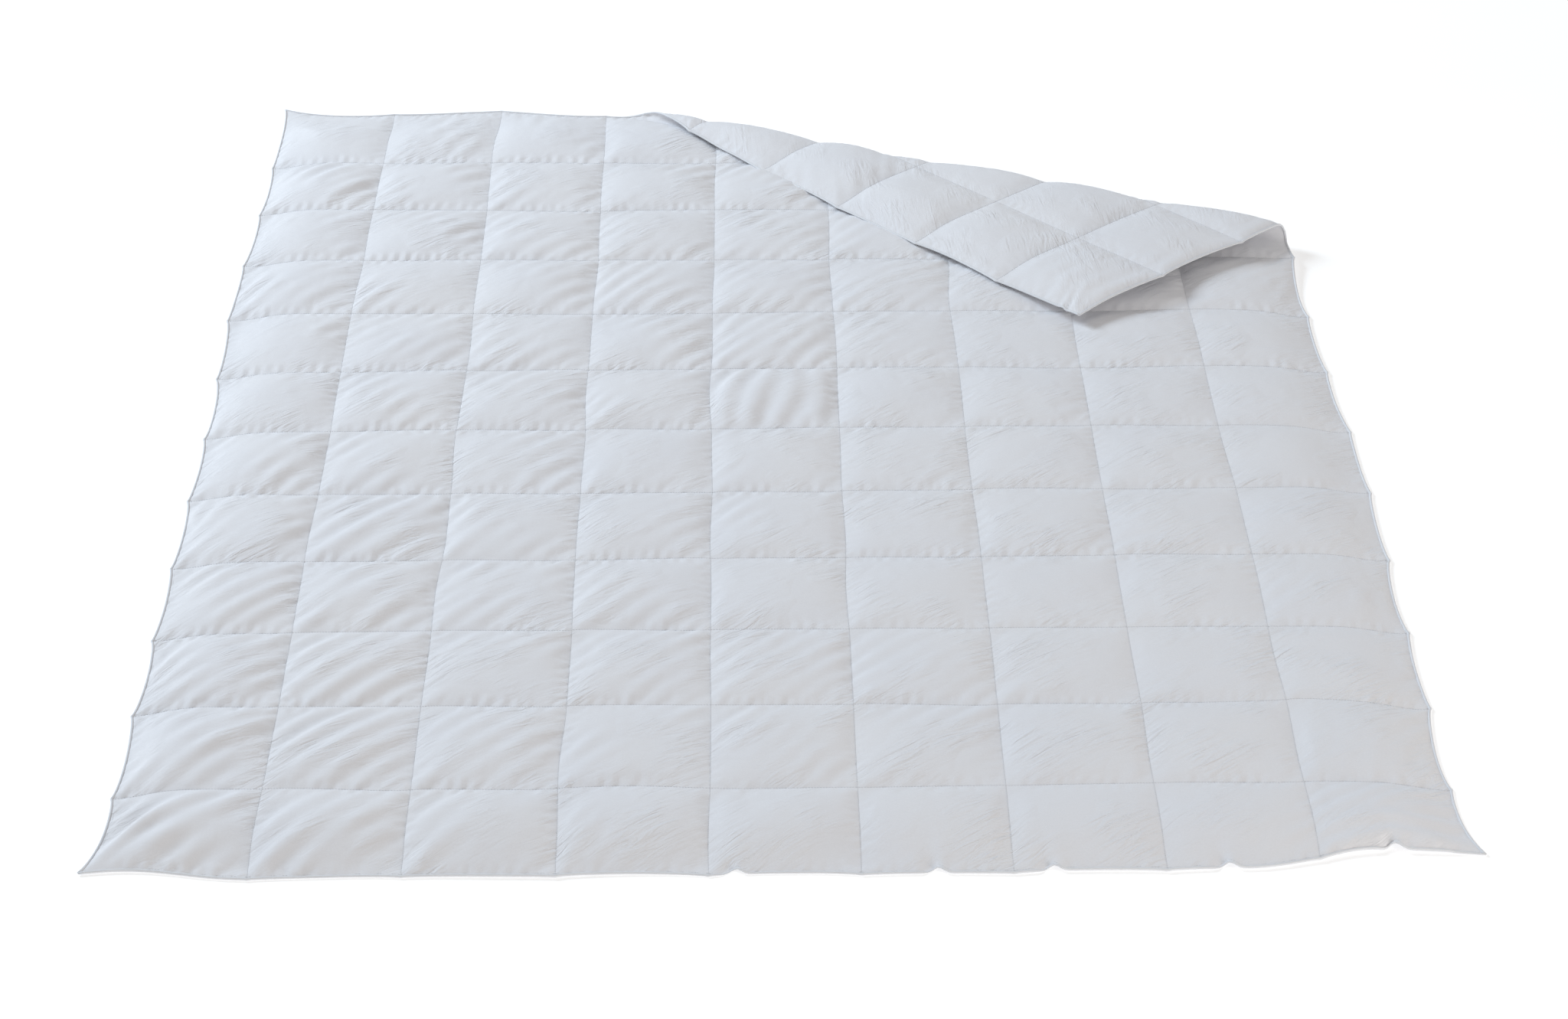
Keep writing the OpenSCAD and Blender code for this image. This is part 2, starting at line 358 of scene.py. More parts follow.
@dataclass(frozen=True)
class Crease:
    """The fold: a straight line across the quilt past which the corner turns over.

    Attributes:
        plan: the flat quilt.
        outward: unit vector on the floor from the field to the crease.
        start: distance outward at which the bend begins.
        bend: length of flat cloth in the bend.
        floor_gap: least height of the cloth above the floor.
        low_rise: height of the bend at its left end, as a share of its full height.
        high_rise: the same at its right end, which is lifted.
        room: how far a puff under the corner can stand up, as a share of the space.
        taut: share by which the puffs on the outside of the bend are flattened.
        drawn_in: how far the cloth of the bend is drawn in.
        sink: how far the outer edges droop to the floor.
        corner_sink: how far the far edge of the folded corner sinks on to the field.
        edge_reach: how far in from an edge it droops.
    """

    plan: QuiltPlan
    outward: tuple[float, float]
    start: float
    bend: float
    floor_gap: float = 0.0006
    low_rise: float = 0.68
    high_rise: float = 0.98
    room: float = 0.62
    taut: float = 0.55
    drawn_in: float = 0.0050
    sink: float = 0.0115
    corner_sink: float = 0.0125
    edge_reach: float = 0.05

    @classmethod
    def from_frame(cls, plan: QuiltPlan) -> "Crease":
        """Takes the line and the bend from the two coupled joints.

        Args:
            plan: the flat quilt.

        Returns:
            The crease.
        """
        joints = {joint["name"]: joint for joint in frame["joints"]}
        lower, upper = (Vector(joints[n]["pos_m"]) for n in ("crease_lower", "crease_upper"))
        axis = joints["crease_lower"]["axis"]
        outward = (axis[1], -axis[0])
        bend = 2 * (upper.z - lower.z)
        start = lower.x * outward[0] + lower.y * outward[1] - bend / 4
        return cls(plan, outward, start, bend)

    @property
    def radius(self) -> float:
        """Radius of the bend in the plane of the seams."""
        return self.bend / np.pi

    @property
    def apex(self) -> float:
        """Distance outward of the line halfway round the bend."""
        return self.start + self.bend / 2

    def across(self, x: np.ndarray, y: np.ndarray) -> np.ndarray:
        """Distance outward of flat points."""
        return self.outward[0] * x + self.outward[1] * y

    def lengthwise(self, x: np.ndarray, y: np.ndarray) -> np.ndarray:
        """Distance along the crease of flat points, growing to the right."""
        return self.outward[1] * x - self.outward[0] * y

    def rise(self, u: np.ndarray) -> np.ndarray:
        """Half the height between the seams below and above the bend."""
        share = self.low_rise + (self.high_rise - self.low_rise) * smooth((u + 0.30) / 0.65)
        return self.radius * share

    def covered(self, x: np.ndarray, y: np.ndarray) -> np.ndarray:
        """From 0 to 1, how far a flat point is pressed between the field and the corner.

        Args:
            x: x of flat points.
            y: their y.

        Returns:
            One value for each point.
        """
        d, u = self.across(x, y), self.lengthwise(x, y)
        above = 2 * self.start + self.bend - d
        over_x = self.outward[1] * u + self.outward[0] * above
        over_y = -self.outward[0] * u + self.outward[1] * above
        depth = np.minimum(self.plan.width / 2 - over_x, self.plan.length / 2 - over_y)
        return np.where(d < self.start, smooth((depth + 0.012) / 0.035), 1.0)

    def fold(self, points: np.ndarray) -> np.ndarray:
        """Lays flat cloth in its place on the floor, with the corner turned over.

        Args:
            points: x, y and height above the seams of each point, flat.

        Returns:
            The same points in the row frame.
        """
        x, y, h = points.T
        d, u = self.across(x, y), self.lengthwise(x, y)
        rise, pressed = self.rise(u), self.covered(x, y)
        room = np.where(h > 0, self.room * rise, 1.0)
        squeezed = h / (1 + (h / room) ** 4) ** 0.25
        h = np.where(h > 0, h + pressed * (squeezed - h), h)
        turn = np.pi * np.clip((d - self.start) / self.bend, 0, 1)
        tight = np.sin(turn) ** 2
        h = np.where(h < 0, h * (1 - self.taut * tight), h) - self.drawn_in * tight
        past = np.maximum(d - self.start - self.bend, 0)
        out = np.minimum(d, self.start) - past + (self.radius - h) * np.sin(turn)
        z = self.plan.seam_height + rise - (rise - h) * np.cos(turn)
        edge = self.plan.inside(x, y)
        on_floor = smooth((self.start - d) / 0.16)
        z -= on_floor * self.sink * hill(np.maximum(edge, 0) / self.edge_reach)
        far_edge = hill((self.plan.length / 2 - y) / self.edge_reach) * smooth((0.43 - u) / 0.3)
        z -= smooth(past / self.edge_reach) * far_edge * self.corner_sink
        z = 0.5 * (z + self.floor_gap + np.sqrt((z - self.floor_gap) ** 2 + 0.0012**2))
        world_x = self.outward[1] * u + self.outward[0] * out
        world_y = -self.outward[0] * u + self.outward[1] * out
        return np.stack([world_x, world_y, z], axis=1)

    def ramps(self, part: Part) -> tuple[Vector, Vector]:
        """Where a piece that crosses the fold starts and stops following the turn.

        Args:
            part: the side of the apex that the piece is on.

        Returns:
            The start and end points for the blend.
        """
        centre = Vector((self.outward[0] * self.start, self.outward[1] * self.start,
                         self.plan.seam_height + self.radius))
        away = Vector((self.outward[0], self.outward[1], 0.0))
        if part is Part.FIELD:
            slant = (away + Vector((0, 0, 1))).normalized()
            return centre - slant * 0.016, centre + slant * 0.0005
        slant = (Vector((0, 0, 1)) - away).normalized()
        return centre - slant * 0.0005, centre + slant * 0.016


@dataclass
class SewnGrid:
    """A fine grid over the quilt with its seams and edges sewn in place.

    Attributes:
        plan: the flat quilt.
        cells: grid steps across one column.
        seed: seed of the small shifts of the seams.
        tucks: x of the small tucks in the near edge.
    """

    plan: QuiltPlan
    cells: int
    seed: int = 3
    tucks: tuple[float, ...] = (-0.058, 0.170, 0.300, 0.498, 0.686)
    x: np.ndarray = field(init=False)
    y: np.ndarray = field(init=False)
    sewn_x: np.ndarray = field(init=False)
    sewn_y: np.ndarray = field(init=False)
    base_h: np.ndarray = field(init=False)

    def __post_init__(self) -> None:
        """Lays the grid and moves its lines to where they are sewn."""
        self.line_x, self.seam_columns = self._axis(self.plan.column_lines)
        self.line_y, self.seam_rows = self._axis(self.plan.row_lines)
        self.x, self.y = np.meshgrid(self.line_x, self.line_y)
        self.a, self.column = self._within(self.x, self.plan.column_lines)
        self.b, self.row = self._within(self.y, self.plan.row_lines)
        drift = Noise(0.13, self.seed + 1, 0.0016), Noise(0.13, self.seed + 2, 0.0020)
        dx, dy, dh = self._outline()
        self.sewn_x = self.x + dx + drift[0].at(self.x, self.y)
        self.sewn_y = self.y + dy + drift[1].at(self.x, self.y) + self._sway()
        self.base_h = dh + Noise(0.22, self.seed, 0.0009).at(self.x, self.y)

    def _axis(self, lines: np.ndarray) -> tuple[np.ndarray, np.ndarray]:
        """Grid positions along one side, and which of them are seams or edges.

        Args:
            lines: the seams and edges across that side.

        Returns:
            The positions, and the numbers of those that are seams or edges.
        """
        step = self.plan.width / self.plan.columns / self.cells
        out, seams = [lines[0]], [0]
        for low, high in zip(lines, lines[1:]):
            count = max(2, 2 * round((high - low) / step / 2))
            out += list(low + (high - low) * np.arange(1, count + 1) / count)
            seams.append(len(out) - 1)
        return np.array(out), np.array(seams)

    @staticmethod
    def _within(at: np.ndarray, lines: np.ndarray) -> tuple[np.ndarray, np.ndarray]:
        """Position from -1 to 1 inside a box, and the box's number.

        Args:
            at: positions along one side.
            lines: the seams and edges across it.

        Returns:
            Both, for each position.
        """
        box = np.clip(np.searchsorted(lines, at, side="right") - 1, 0, len(lines) - 2)
        return 2 * (at - lines[box]) / (lines[box + 1] - lines[box]) - 1, box

    def _outline(self) -> tuple[np.ndarray, np.ndarray, np.ndarray]:
        """How edges draw in between the seams and corners stand out, as shifts in x, y, height.

        Returns:
            The three shifts of each grid point.
        """
        half_x, half_y = self.plan.width / 2, self.plan.length / 2
        dx, dy, dh = (np.zeros_like(self.x) for _ in range(3))
        rng = np.random.default_rng(self.seed + 30)
        for side in (-1, 1):
            depth = rng.uniform(*SIDE_SCALLOP, self.plan.rows)[self.row]
            close = hill((half_x - side * self.x) / SCALLOP_REACH)
            dx -= side * depth * (1 - self.b**2) ** 0.6 * close
            depth = rng.uniform(*END_SCALLOP, self.plan.columns)[self.column]
            close = hill((half_y - side * self.y) / SCALLOP_REACH)
            dy -= side * depth * (1 - self.a**2) ** 0.6 * close
        for (i, j), (ex, ey, eh) in EARS.items():
            r = np.hypot(half_x - i * self.x, half_y - j * self.y)
            pull = np.exp(-r / EAR_REACH)
            dx += i * ex * pull
            dy += j * ey * pull
            dh += eh * pull
        for side, (bow, middle, width) in SIDE_BOWS.items():
            out = smooth((side * self.x - BOW_START) / BOW_RUN)
            dx += side * bow * out * hill((self.y - middle) / width)
        for end, moves in END_MOVES.items():
            close = hill((half_y - end * self.y) / END_REACH[end])
            for move, side, start, run in moves:
                dy += move * smooth((side * self.x - start) / run) * close
        for at in self.tucks:
            t = (self.x - at) / TUCK_WIDTH
            fade = hill((self.y + half_y) / EDGE_REACH)
            dh += TUCK_HEIGHT * t * hill(t) * fade
            dy += TUCK_DEPTH * hill(t) * fade
        t = (self.x - half_x + RIDGE_AT + RIDGE_SLANT * (half_y - self.y)) / RIDGE_WIDTH
        fade = hill((half_y - self.y) / EDGE_REACH) * smooth(self.x / 0.1)
        dh += RIDGE_HEIGHT * t * hill(t) * fade
        return dx, dy, dh

    def _sway(self) -> np.ndarray:
        """The slow bow of the crosswise seams at the far left, and their slant from box to box.

        Returns:
            The shift in y of each grid point.
        """
        slant = np.random.default_rng(self.seed + 31).normal(0.001, 0.0018, (24, self.plan.columns))
        line = np.clip(np.round(self.row + 0.5 + 0.5 * self.b), 0, 23).astype(int)
        near = smooth(2 * np.abs(self.b) - 1)
        tilt = -self.a * (1 - self.a**6) * near * slant[line, self.column]
        inner = smooth((self.plan.length / 2 - np.abs(self.y)) / 0.05)
        return tilt * inner + 0.016 * hill((self.x + 0.75) / 0.3) * hill((self.y - 0.62) / 0.28)

    @property
    def pinned(self) -> np.ndarray:
        """Which grid points are held by thread: every seam and every edge.

        Returns:
            True for each point that is held.
        """
        held = np.zeros(self.x.shape, bool)
        held[self.seam_rows, :] = True
        held[:, self.seam_columns] = True
        return held


Link = tuple[tuple, tuple, np.ndarray, float]


@dataclass
class PuffSolver:
    """Puffs a cover up between its seams.

    The cloth is a net of links a little longer than the flat distance between their
    ends, on soft down. It is relaxed first on a coarse grid, which gives the puffs and
    the long drag wrinkles, and then on the fine one, which gives the puckers.

    Attributes:
        plan: the flat quilt.
        cells: grid steps across one column of the finished cover.
        seed: seed of the wrinkles.
        crown: height of a puff above its seams.
        flat_top: how boxy a puff is, from 1, round, down to 0, square.
        slack: share by which the cloth is longer than the space between its seams.
        gather: how much more cloth is drawn up in the thread beside a seam.
        drag: how hard the left side is pulled askew, which makes its slanting wrinkles.
        rounds: passes on the coarse and on the fine grid.
        down: how strongly the down pushes back.
        press: the most that it pushes in one pass.
        follow: share of the seams' shifts that the cloth was cut to.
        uneven: how much the drag differs from one box to the next.
        stay: how firmly the cloth resists a fold.
        shear: how firmly it resists being pulled askew.
        momentum: share of its speed that the cloth keeps from one pass to the next.
        reach: how far the gathers reach from a seam, as a share of half a box.
    """

    plan: QuiltPlan
    cells: int
    seed: int
    crown: float = 0.0132
    flat_top: float = 0.62
    slack: float = 0.004
    gather: float = 0.027
    drag: float = 0.076
    rounds: tuple[int, int] = (400, 70)
    down: float = 0.02
    stay: float = 0.7
    shear: float = 0.7
    momentum: float = 0.85
    reach: float = 0.16
    follow: float = 0.75
    uneven: float = 0.5
    press: float = 0.0002

    def solve(self) -> tuple[SewnGrid, np.ndarray]:
        """Relaxes the cover.

        Returns:
            The fine grid, and the x, y and height above the seams of its points.
        """
        coarse = SewnGrid(self.plan, self.cells // 2)
        links = self._dragged_links(coarse)
        loft = self._loft(coarse) + coarse.base_h
        points = self._relax(coarse, self._first_guess(coarse), loft, links, self.rounds[0])
        fine = SewnGrid(self.plan, self.cells)
        start = self._refine(coarse, fine, points)
        links = self._gathered_links(fine, start)
        return fine, self._relax(fine, start, start[2].copy(), links, self.rounds[1])

    def _loft(self, grid: SewnGrid) -> np.ndarray:
        """The height that the down alone would give each point.

        Args:
            grid: the grid to puff up.

        Returns:
            One height for each point.
        """
        rng = np.random.default_rng(self.seed + 9)
        box = 1 + 0.10 * rng.standard_normal((self.plan.rows, self.plan.columns))
        dome = np.clip((1 - grid.a**2) * (1 - grid.b**2), 0, None) ** self.flat_top
        lumps = 1 + Noise(0.06, self.seed + 4, 0.09).at(grid.x, grid.y)
        lumps *= 1.10 - 0.38 * np.clip(grid.x / self.plan.width + 0.5, 0, 1)
        return self.crown * box[grid.row, grid.column] * dome * lumps

    def _first_guess(self, grid: SewnGrid) -> np.ndarray:
        """A low dome in each box, with a little unevenness for the wrinkles to start from.

        Args:
            grid: the grid to start from.

        Returns:
            The x, y and height of each point.
        """
        rng = np.random.default_rng(self.seed + 20)
        h = grid.base_h + 0.5 * self._loft(grid)
        h = h + 0.0005 * rng.standard_normal(h.shape)
        return np.stack([grid.sewn_x, grid.sewn_y, h])

    def _refine(self, coarse: SewnGrid, fine: SewnGrid, points: np.ndarray) -> np.ndarray:
        """Carries the coarse cover over to the fine grid.

        Args:
            coarse: the coarse grid.
            fine: the fine grid.
            points: where the coarse points lie.

        Returns:
            Where the fine points start.
        """
        flat = np.stack([coarse.sewn_x, coarse.sewn_y, coarse.base_h])
        move = points - flat
        u = np.interp(fine.line_x, coarse.line_x, np.arange(len(coarse.line_x)))
        v = np.interp(fine.line_y, coarse.line_y, np.arange(len(coarse.line_y)))
        i = np.clip(np.floor(u).astype(int), 0, len(coarse.line_x) - 2)
        j = np.clip(np.floor(v).astype(int), 0, len(coarse.line_y) - 2)
        fu, fv = (u - i)[None, :], (v - j)[:, None]
        near = move[:, j][:, :, i] * (1 - fu) + move[:, j][:, :, i + 1] * fu
        far = move[:, j + 1][:, :, i] * (1 - fu) + move[:, j + 1][:, :, i + 1] * fu
        out = near * (1 - fv) + far * fv
        out += np.stack([fine.sewn_x, fine.sewn_y, fine.base_h])
        held = fine.pinned
        for _ in range(3):
            soft = np.pad(out, ((0, 0), (1, 1), (1, 1)), mode="edge")
            soft = 0.25 * (soft[:, :-2] + 2 * soft[:, 1:-1] + soft[:, 2:])
            soft = 0.25 * (soft[:, :, :-2] + 2 * soft[:, :, 1:-1] + soft[:, :, 2:])
            out = np.where(held, out, soft)
        rng = np.random.default_rng(self.seed + 21)
        out[2] += 0.00012 * rng.standard_normal(out[2].shape)
        return out

    def _strain(self, grid: SewnGrid) -> tuple[np.ndarray, np.ndarray, np.ndarray]:
        """How much longer the cloth is than its space: crosswise, lengthwise, and askew.

        Args:
            grid: the coarse grid.

        Returns:
            The three shares for each point.
        """
        x, y = grid.x, grid.y
        share = np.clip(x / self.plan.width + 0.5, 0, 1)
        askew = -self.drag * (0.12 + 0.88 * np.clip(1 - 1.15 * share, 0, 1) ** 1.1)
        from_corner = np.hypot(x + self.plan.width / 2, y + self.plan.length / 2)
        askew = askew * (1 + 0.9 * np.exp(-((from_corner / 0.34) ** 2)))
        patchy = 1 + Noise(0.15, self.seed + 5, self.uneven).at(x, y)
        askew = askew * np.clip(patchy + Noise(0.05, self.seed + 8, 0.8).at(x, y), -0.2, 3)
        bunched = np.exp(-((x / 0.08) ** 4)) * (np.exp(-(((y - 0.06) / 0.10) ** 4))
                                                + 0.45 * np.exp(-(((y - 0.27) / 0.11) ** 4)))
        loose = Noise(0.16, self.seed + 6, 0.005), Noise(0.05, self.seed + 7, 0.006)
        wide = self.slack + loose[0].at(x, y) + loose[1].at(x, y) + 0.080 * bunched
        tall = self.slack + loose[0].at(-x, y) + loose[1].at(-x, y)
        return wide, tall, askew

    def _gathers(self, grid: SewnGrid) -> tuple[np.ndarray, np.ndarray]:
        """How much more cloth is drawn up beside the crosswise and the lengthwise seams.

        Args:
            grid: the fine grid.

        Returns:
            The two shares for each point.
        """
        share = np.clip(grid.x / self.plan.width + 0.5, 0, 1)
        much = self.gather * (1.15 - 0.55 * share)
        patchy = np.clip(1 + Noise(0.03, self.seed + 12, 0.8).at(grid.x, grid.y), 0, 3)
        across = much * patchy * hill((1 - np.abs(grid.b)) / self.reach)
        along = 0.7 * much * patchy * hill((1 - np.abs(grid.a)) / self.reach)
        return across, along

    @staticmethod
    def _pairs(shape: tuple[int, int], span: int) -> list[tuple[tuple, tuple]]:
        """Slices that pair every grid point with the one so many steps on, none twice at once.

        Args:
            shape: the grid's shape.
            span: how many steps apart the two are.

        Returns:
            Two sets of slices for each group of pairs.
        """
        every, found = slice(None), []
        for s in range(2 * span):
            for axis in (1, 0):
                m = (shape[axis] - span - s - 1) // (2 * span) + 1
                a = slice(s, s + 2 * span * (m - 1) + 1, 2 * span)
                b = slice(a.start + span, a.stop + span, 2 * span)
                found.append(((every, a), (every, b)) if axis else ((a, every), (b, every)))
        return found

    @staticmethod
    def _slanting_pairs(shape: tuple[int, int]) -> list[tuple[tuple, tuple]]:
        """The same for the two diagonals of each grid cell.

        Args:
            shape: the grid's shape.

        Returns:
            Two sets of slices for each group of pairs.
        """
        left, right, found = slice(0, -1), slice(1, None), []
        for s in (0, 1):
            m = (shape[0] - s) // 2
            a, b = slice(s, s + 2 * m - 1, 2), slice(s + 1, s + 2 * m, 2)
            found += [((a, left), (b, right)), ((a, right), (b, left))]
        return found

    def _net(self, shape: tuple[int, int],
             link: Callable[[tuple, tuple, float], Link]) -> list[Link]:
        """Ties each grid point to its neighbours, to those askew and to those two steps on.

        Args:
            shape: the grid's shape.
            link: makes a link from two sets of slices and a stiffness.

        Returns:
            The links.
        """
        links = [link(a, b, 1.0) for a, b in self._pairs(shape, 1)]
        links += [link(a, b, self.shear) for a, b in self._slanting_pairs(shape)]
        return links + [link(a, b, self.stay) for a, b in self._pairs(shape, 2)]

    def _dragged_links(self, grid: SewnGrid) -> list[Link]:
        """The coarse net: cloth that is longer than its space, and pulled askew.

        Args:
            grid: the coarse grid.

        Returns:
            The net's links.
        """
        wide, tall, askew = self._strain(grid)
        at = self.follow * np.stack([grid.sewn_x, grid.sewn_y])
        at += (1 - self.follow) * np.stack([grid.x, grid.y])

        def link(a: tuple, b: tuple, stiff: float) -> Link:
            """Ties one set of points to another.

            Args:
                a: slices that pick the first points.
                b: slices that pick the second ones.
                stiff: how firmly they are tied.

            Returns:
                The link, with the length that the askew cloth has between them.
            """
            v = at[(slice(None), *b)] - at[(slice(None), *a)]
            w, t, k = (0.5 * (f[a] + f[b]) for f in (wide, tall, askew))
            length = np.hypot((1 + w) * v[0] + k * v[1], k * v[0] + (1 + t) * v[1])
            return a, b, length.astype(np.float32), stiff

        return self._net(grid.x.shape, link)

    def _gathered_links(self, grid: SewnGrid, start: np.ndarray) -> list[Link]:
        """The fine net: the coarse cloth as it lies, with more drawn up beside the seams.

        Args:
            grid: the fine grid.
            start: where its points start.

        Returns:
            The net's links.
        """
        across, along = self._gathers(grid)

        def link(a: tuple, b: tuple, stiff: float) -> Link:
            """Ties one set of points to another.

            Args:
                a: slices that pick the first points.
                b: slices that pick the second ones.
                stiff: how firmly they are tied.

            Returns:
                The link, with the length between them as they lie and what is drawn up.
            """
            v = start[(slice(None), *b)] - start[(slice(None), *a)]
            crosswise = np.abs(v[0]) / np.hypot(v[0], v[1])
            more = 0.5 * (crosswise * (across[a] + across[b])
                          + (1 - crosswise) * (along[a] + along[b]))
            return a, b, (np.sqrt((v * v).sum(0)) * (1 + more)).astype(np.float32), stiff

        return self._net(grid.x.shape, link)

    def _relax(self, grid: SewnGrid, start: np.ndarray, loft: np.ndarray, links: list[Link],
               rounds: int) -> np.ndarray:
        """Lets the net settle.

        Args:
            grid: the grid that the net is on.
            start: where its points start.
            loft: the height that the down pushes them to.
            links: the net's links.
            rounds: how many passes to make.

        Returns:
            Where its points come to rest.
        """
        p = start.astype(np.float32)
        base, held = grid.base_h.astype(np.float32), grid.pinned
        home = np.stack([grid.sewn_x, grid.sewn_y, grid.base_h]).astype(np.float32)[:, held]
        p[:, held] = home
        loft, last = loft.astype(np.float32), p.copy()
        for _ in range(rounds):
            speed = self.momentum * (p - last)
            last[:] = p
            p += speed
            p[2] += np.clip(self.down * (loft - p[2]), -self.press, self.press)
            for a, b, length, stiff in links:
                ends = p[(slice(None), *a)], p[(slice(None), *b)]
                gap = ends[1] - ends[0]
                gap *= 0.5 * stiff * (1 - length / (np.sqrt((gap * gap).sum(0)) + 1e-9))
                ends[0][...] += gap
                ends[1][...] -= gap
            np.maximum(p[2], base + 0.0003, out=p[2])
            p[:, held] = home
        return p.astype(float)


@dataclass
class Patch:
    """A piece of cloth before it is a mesh: flat points, places on the cloth, and faces."""

    points: np.ndarray
    cloth: np.ndarray
    corners: np.ndarray
    counts: np.ndarray
    sewn: np.ndarray | None = None

    def flipped(self) -> "Patch":
        """The same patch with its faces the other way out.

        Returns:
            The turned patch.
        """
        ends = np.cumsum(self.counts)
        order = np.concatenate([np.arange(e - 1, e - n - 1, -1) for e, n in zip(ends, self.counts)])
        return Patch(self.points, self.cloth, self.corners[order], self.counts, self.sewn)

    def flat_area(self) -> float:
        """Area of the cloth as it was cut.

        Returns:
            The area in square metres.
        """
        uv = self.cloth[self.corners]
        starts = np.cumsum(self.counts) - self.counts
        following = np.arange(len(self.corners)) + 1
        following[starts + self.counts - 1] = starts
        cross = uv[:, 0] * uv[following, 1] - uv[following, 0] * uv[:, 1]
        return abs(0.5 * float(np.add.reduceat(cross, starts).sum()))

    def to_object(self, name: str, crease: Crease, material: bpy.types.Material,
                  ) -> bpy.types.Object:
        """Lays the patch in place and makes it an object.

        Args:
            name: the piece's name.
            crease: the fold that places it.
            material: its finish.

        Returns:
            The new object.
        """
        made = mesh_object(name, crease.fold(self.points), self.corners, self.counts,
                           material, self.cloth)
        if self.sewn is not None:
            mesh = made.data
            ends = np.zeros(2 * len(mesh.edges), np.int32)
            mesh.edges.foreach_get("vertices", ends)
            sharp = self.sewn[ends.reshape(-1, 2)].all(1)
            mesh.attributes.new("sharp_edge", "BOOLEAN", "EDGE").data.foreach_set("value", sharp)
        return made


def mesh_object(name: str, points: np.ndarray, corners: np.ndarray, counts: np.ndarray,
                material: bpy.types.Material, cloth: np.ndarray | None = None) -> bpy.types.Object:
    """Makes a smooth mesh object.

    Args:
        name: the piece's name.
        points: its vertices, in the row frame.
        corners: the vertex of each face corner, face after face.
        counts: the number of corners of each face.
        material: its finish.
        cloth: a place on the cloth in metres for each vertex, for its UV map.

    Returns:
        The new object, in the scene.
    """
    mesh = bpy.data.meshes.new(name)
    mesh.vertices.add(len(points))
    mesh.vertices.foreach_set("co", points.astype(np.float32).ravel())
    mesh.loops.add(len(corners))
    mesh.loops.foreach_set("vertex_index", corners.astype(np.int32))
    mesh.polygons.add(len(counts))
    mesh.polygons.foreach_set("loop_start", (np.cumsum(counts) - counts).astype(np.int32))
    mesh.update(calc_edges=True)
    mesh.polygons.foreach_set("use_smooth", np.ones(len(counts), bool))
    if cloth is not None:
        layer = mesh.uv_layers.new(name="cloth")
        layer.data.foreach_set("uv", cloth[corners].astype(np.float32).ravel())
    mesh.materials.append(material)
    mesh.validate()
    mesh.update()
    made = bpy.data.objects.new(name, mesh)
    bpy.context.scene.collection.objects.link(made)
    return made


@dataclass
class Cover:
    """One of the two sheets of down-proof cotton, puffed between the seams."""

    plan: QuiltPlan
    crease: Crease
    face: Face
    cells: int
    seed: int
    finish: bpy.types.Material
    grid: SewnGrid = field(init=False)
    points: np.ndarray = field(init=False)

    def __post_init__(self) -> None:
        """Puffs the cover. The bottom one is less pulled about than the top one."""
        solver = PuffSolver(self.plan, self.cells, self.seed)
        if self.face is Face.BOTTOM:
            solver.crown, solver.gather, solver.drag = 0.0122, 0.022, 0.035
        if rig.quick():
            solver.rounds = (120, 20)
        self.grid, self.points = solver.solve()
        lift = self.points[2] - self.grid.base_h
        self.points[2] = self.grid.base_h + self.face.value * lift

    def patch(self, part: Part, rows: tuple[int, int], step: int = 1) -> Patch:
        """Cuts out the cloth between two crosswise lines, on one side of the apex.

        Args:
            part: the side of the apex to keep.
            rows: the numbers of the two crosswise lines.
            step: grid steps to one face.

        Returns:
            The cut cloth, with its faces outward.
        """
        first, last = (int(self.grid.seam_rows[r]) for r in rows)
        pick = (slice(first, last + 1, step), slice(None, None, step))
        x, y, h = (layer[pick] for layer in self.points)
        sewn = self.grid.pinned[pick]
        data = np.stack([x, y, h, self.grid.x[pick], self.grid.y[pick], sewn], axis=-1)
        data = data.reshape(-1, 6)
        side = part.value * (self.crease.across(data[:, 0], data[:, 1]) - self.crease.apex)
        side[np.abs(side) < SAME_PLACE] = 0
        quads = grid_quads(x.shape)
        kept = side[quads] >= 0
        whole = quads[kept.all(1)]
        split = quads[(kept.any(1) & ~kept.all(1)) & (side[quads] > 0).any(1)]
        rings, data = cut_faces(split, side, data)
        corners = list(whole.ravel()) + [v for ring in rings for v in ring]
        counts = [4] * len(whole) + [len(ring) for ring in rings]
        used, packed = np.unique(np.array(corners), return_inverse=True)
        made = Patch(data[used, :3], data[used, 3:5], packed, np.array(counts),
                     data[used, 5] > 0.999)
        return made if self.face is Face.TOP else made.flipped()

    def make(self) -> dict[str, bpy.types.Object]:
        """Builds the cover's three pieces and declares each as a sheet.

        Returns:
            The three pieces, by where they are.
        """
        side, half, made = self.face.name.lower(), self.plan.rows // 2, {}
        near = self.patch(Part.FIELD, (0, half), 1 if self.face is Face.TOP else 2)
        far = self.patch(Part.FIELD, (half, self.plan.rows))
        corner = self.patch(Part.CORNER, (half, self.plan.rows))
        for label, patch in (("near", near), ("far", far), ("corner", corner)):
            piece = patch.to_object(f"{side}_cloth_{label}", self.crease, self.finish)
            size = np.ptp(patch.cloth, axis=0)
            area = min(patch.flat_area(), float(size[0] * size[1]))
            made[label] = piece
            LOG.info("%s: %d faces, cut %.3f x %.3f m", piece.name, len(patch.counts), *size)
            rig.slot(piece, "cover_cloth")
            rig.sheet(piece, flat=(float(size[0]), float(size[1])), area=area,
                     held="laid" if label != "corner" else "folded")
        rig.ride(made["near"], "field")
        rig.blend(made["far"], "field", "turn", *self.crease.ramps(Part.FIELD))
        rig.blend(made["corner"], "turn", "corner", *self.crease.ramps(Part.CORNER))
        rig.replaces(made["near"], f"{side}_cover")
        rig.replaces(made["far"], f"{side}_cover", f"turn_{side}_cover")
        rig.replaces(made["corner"], f"corner_{side}_cover")
        return made


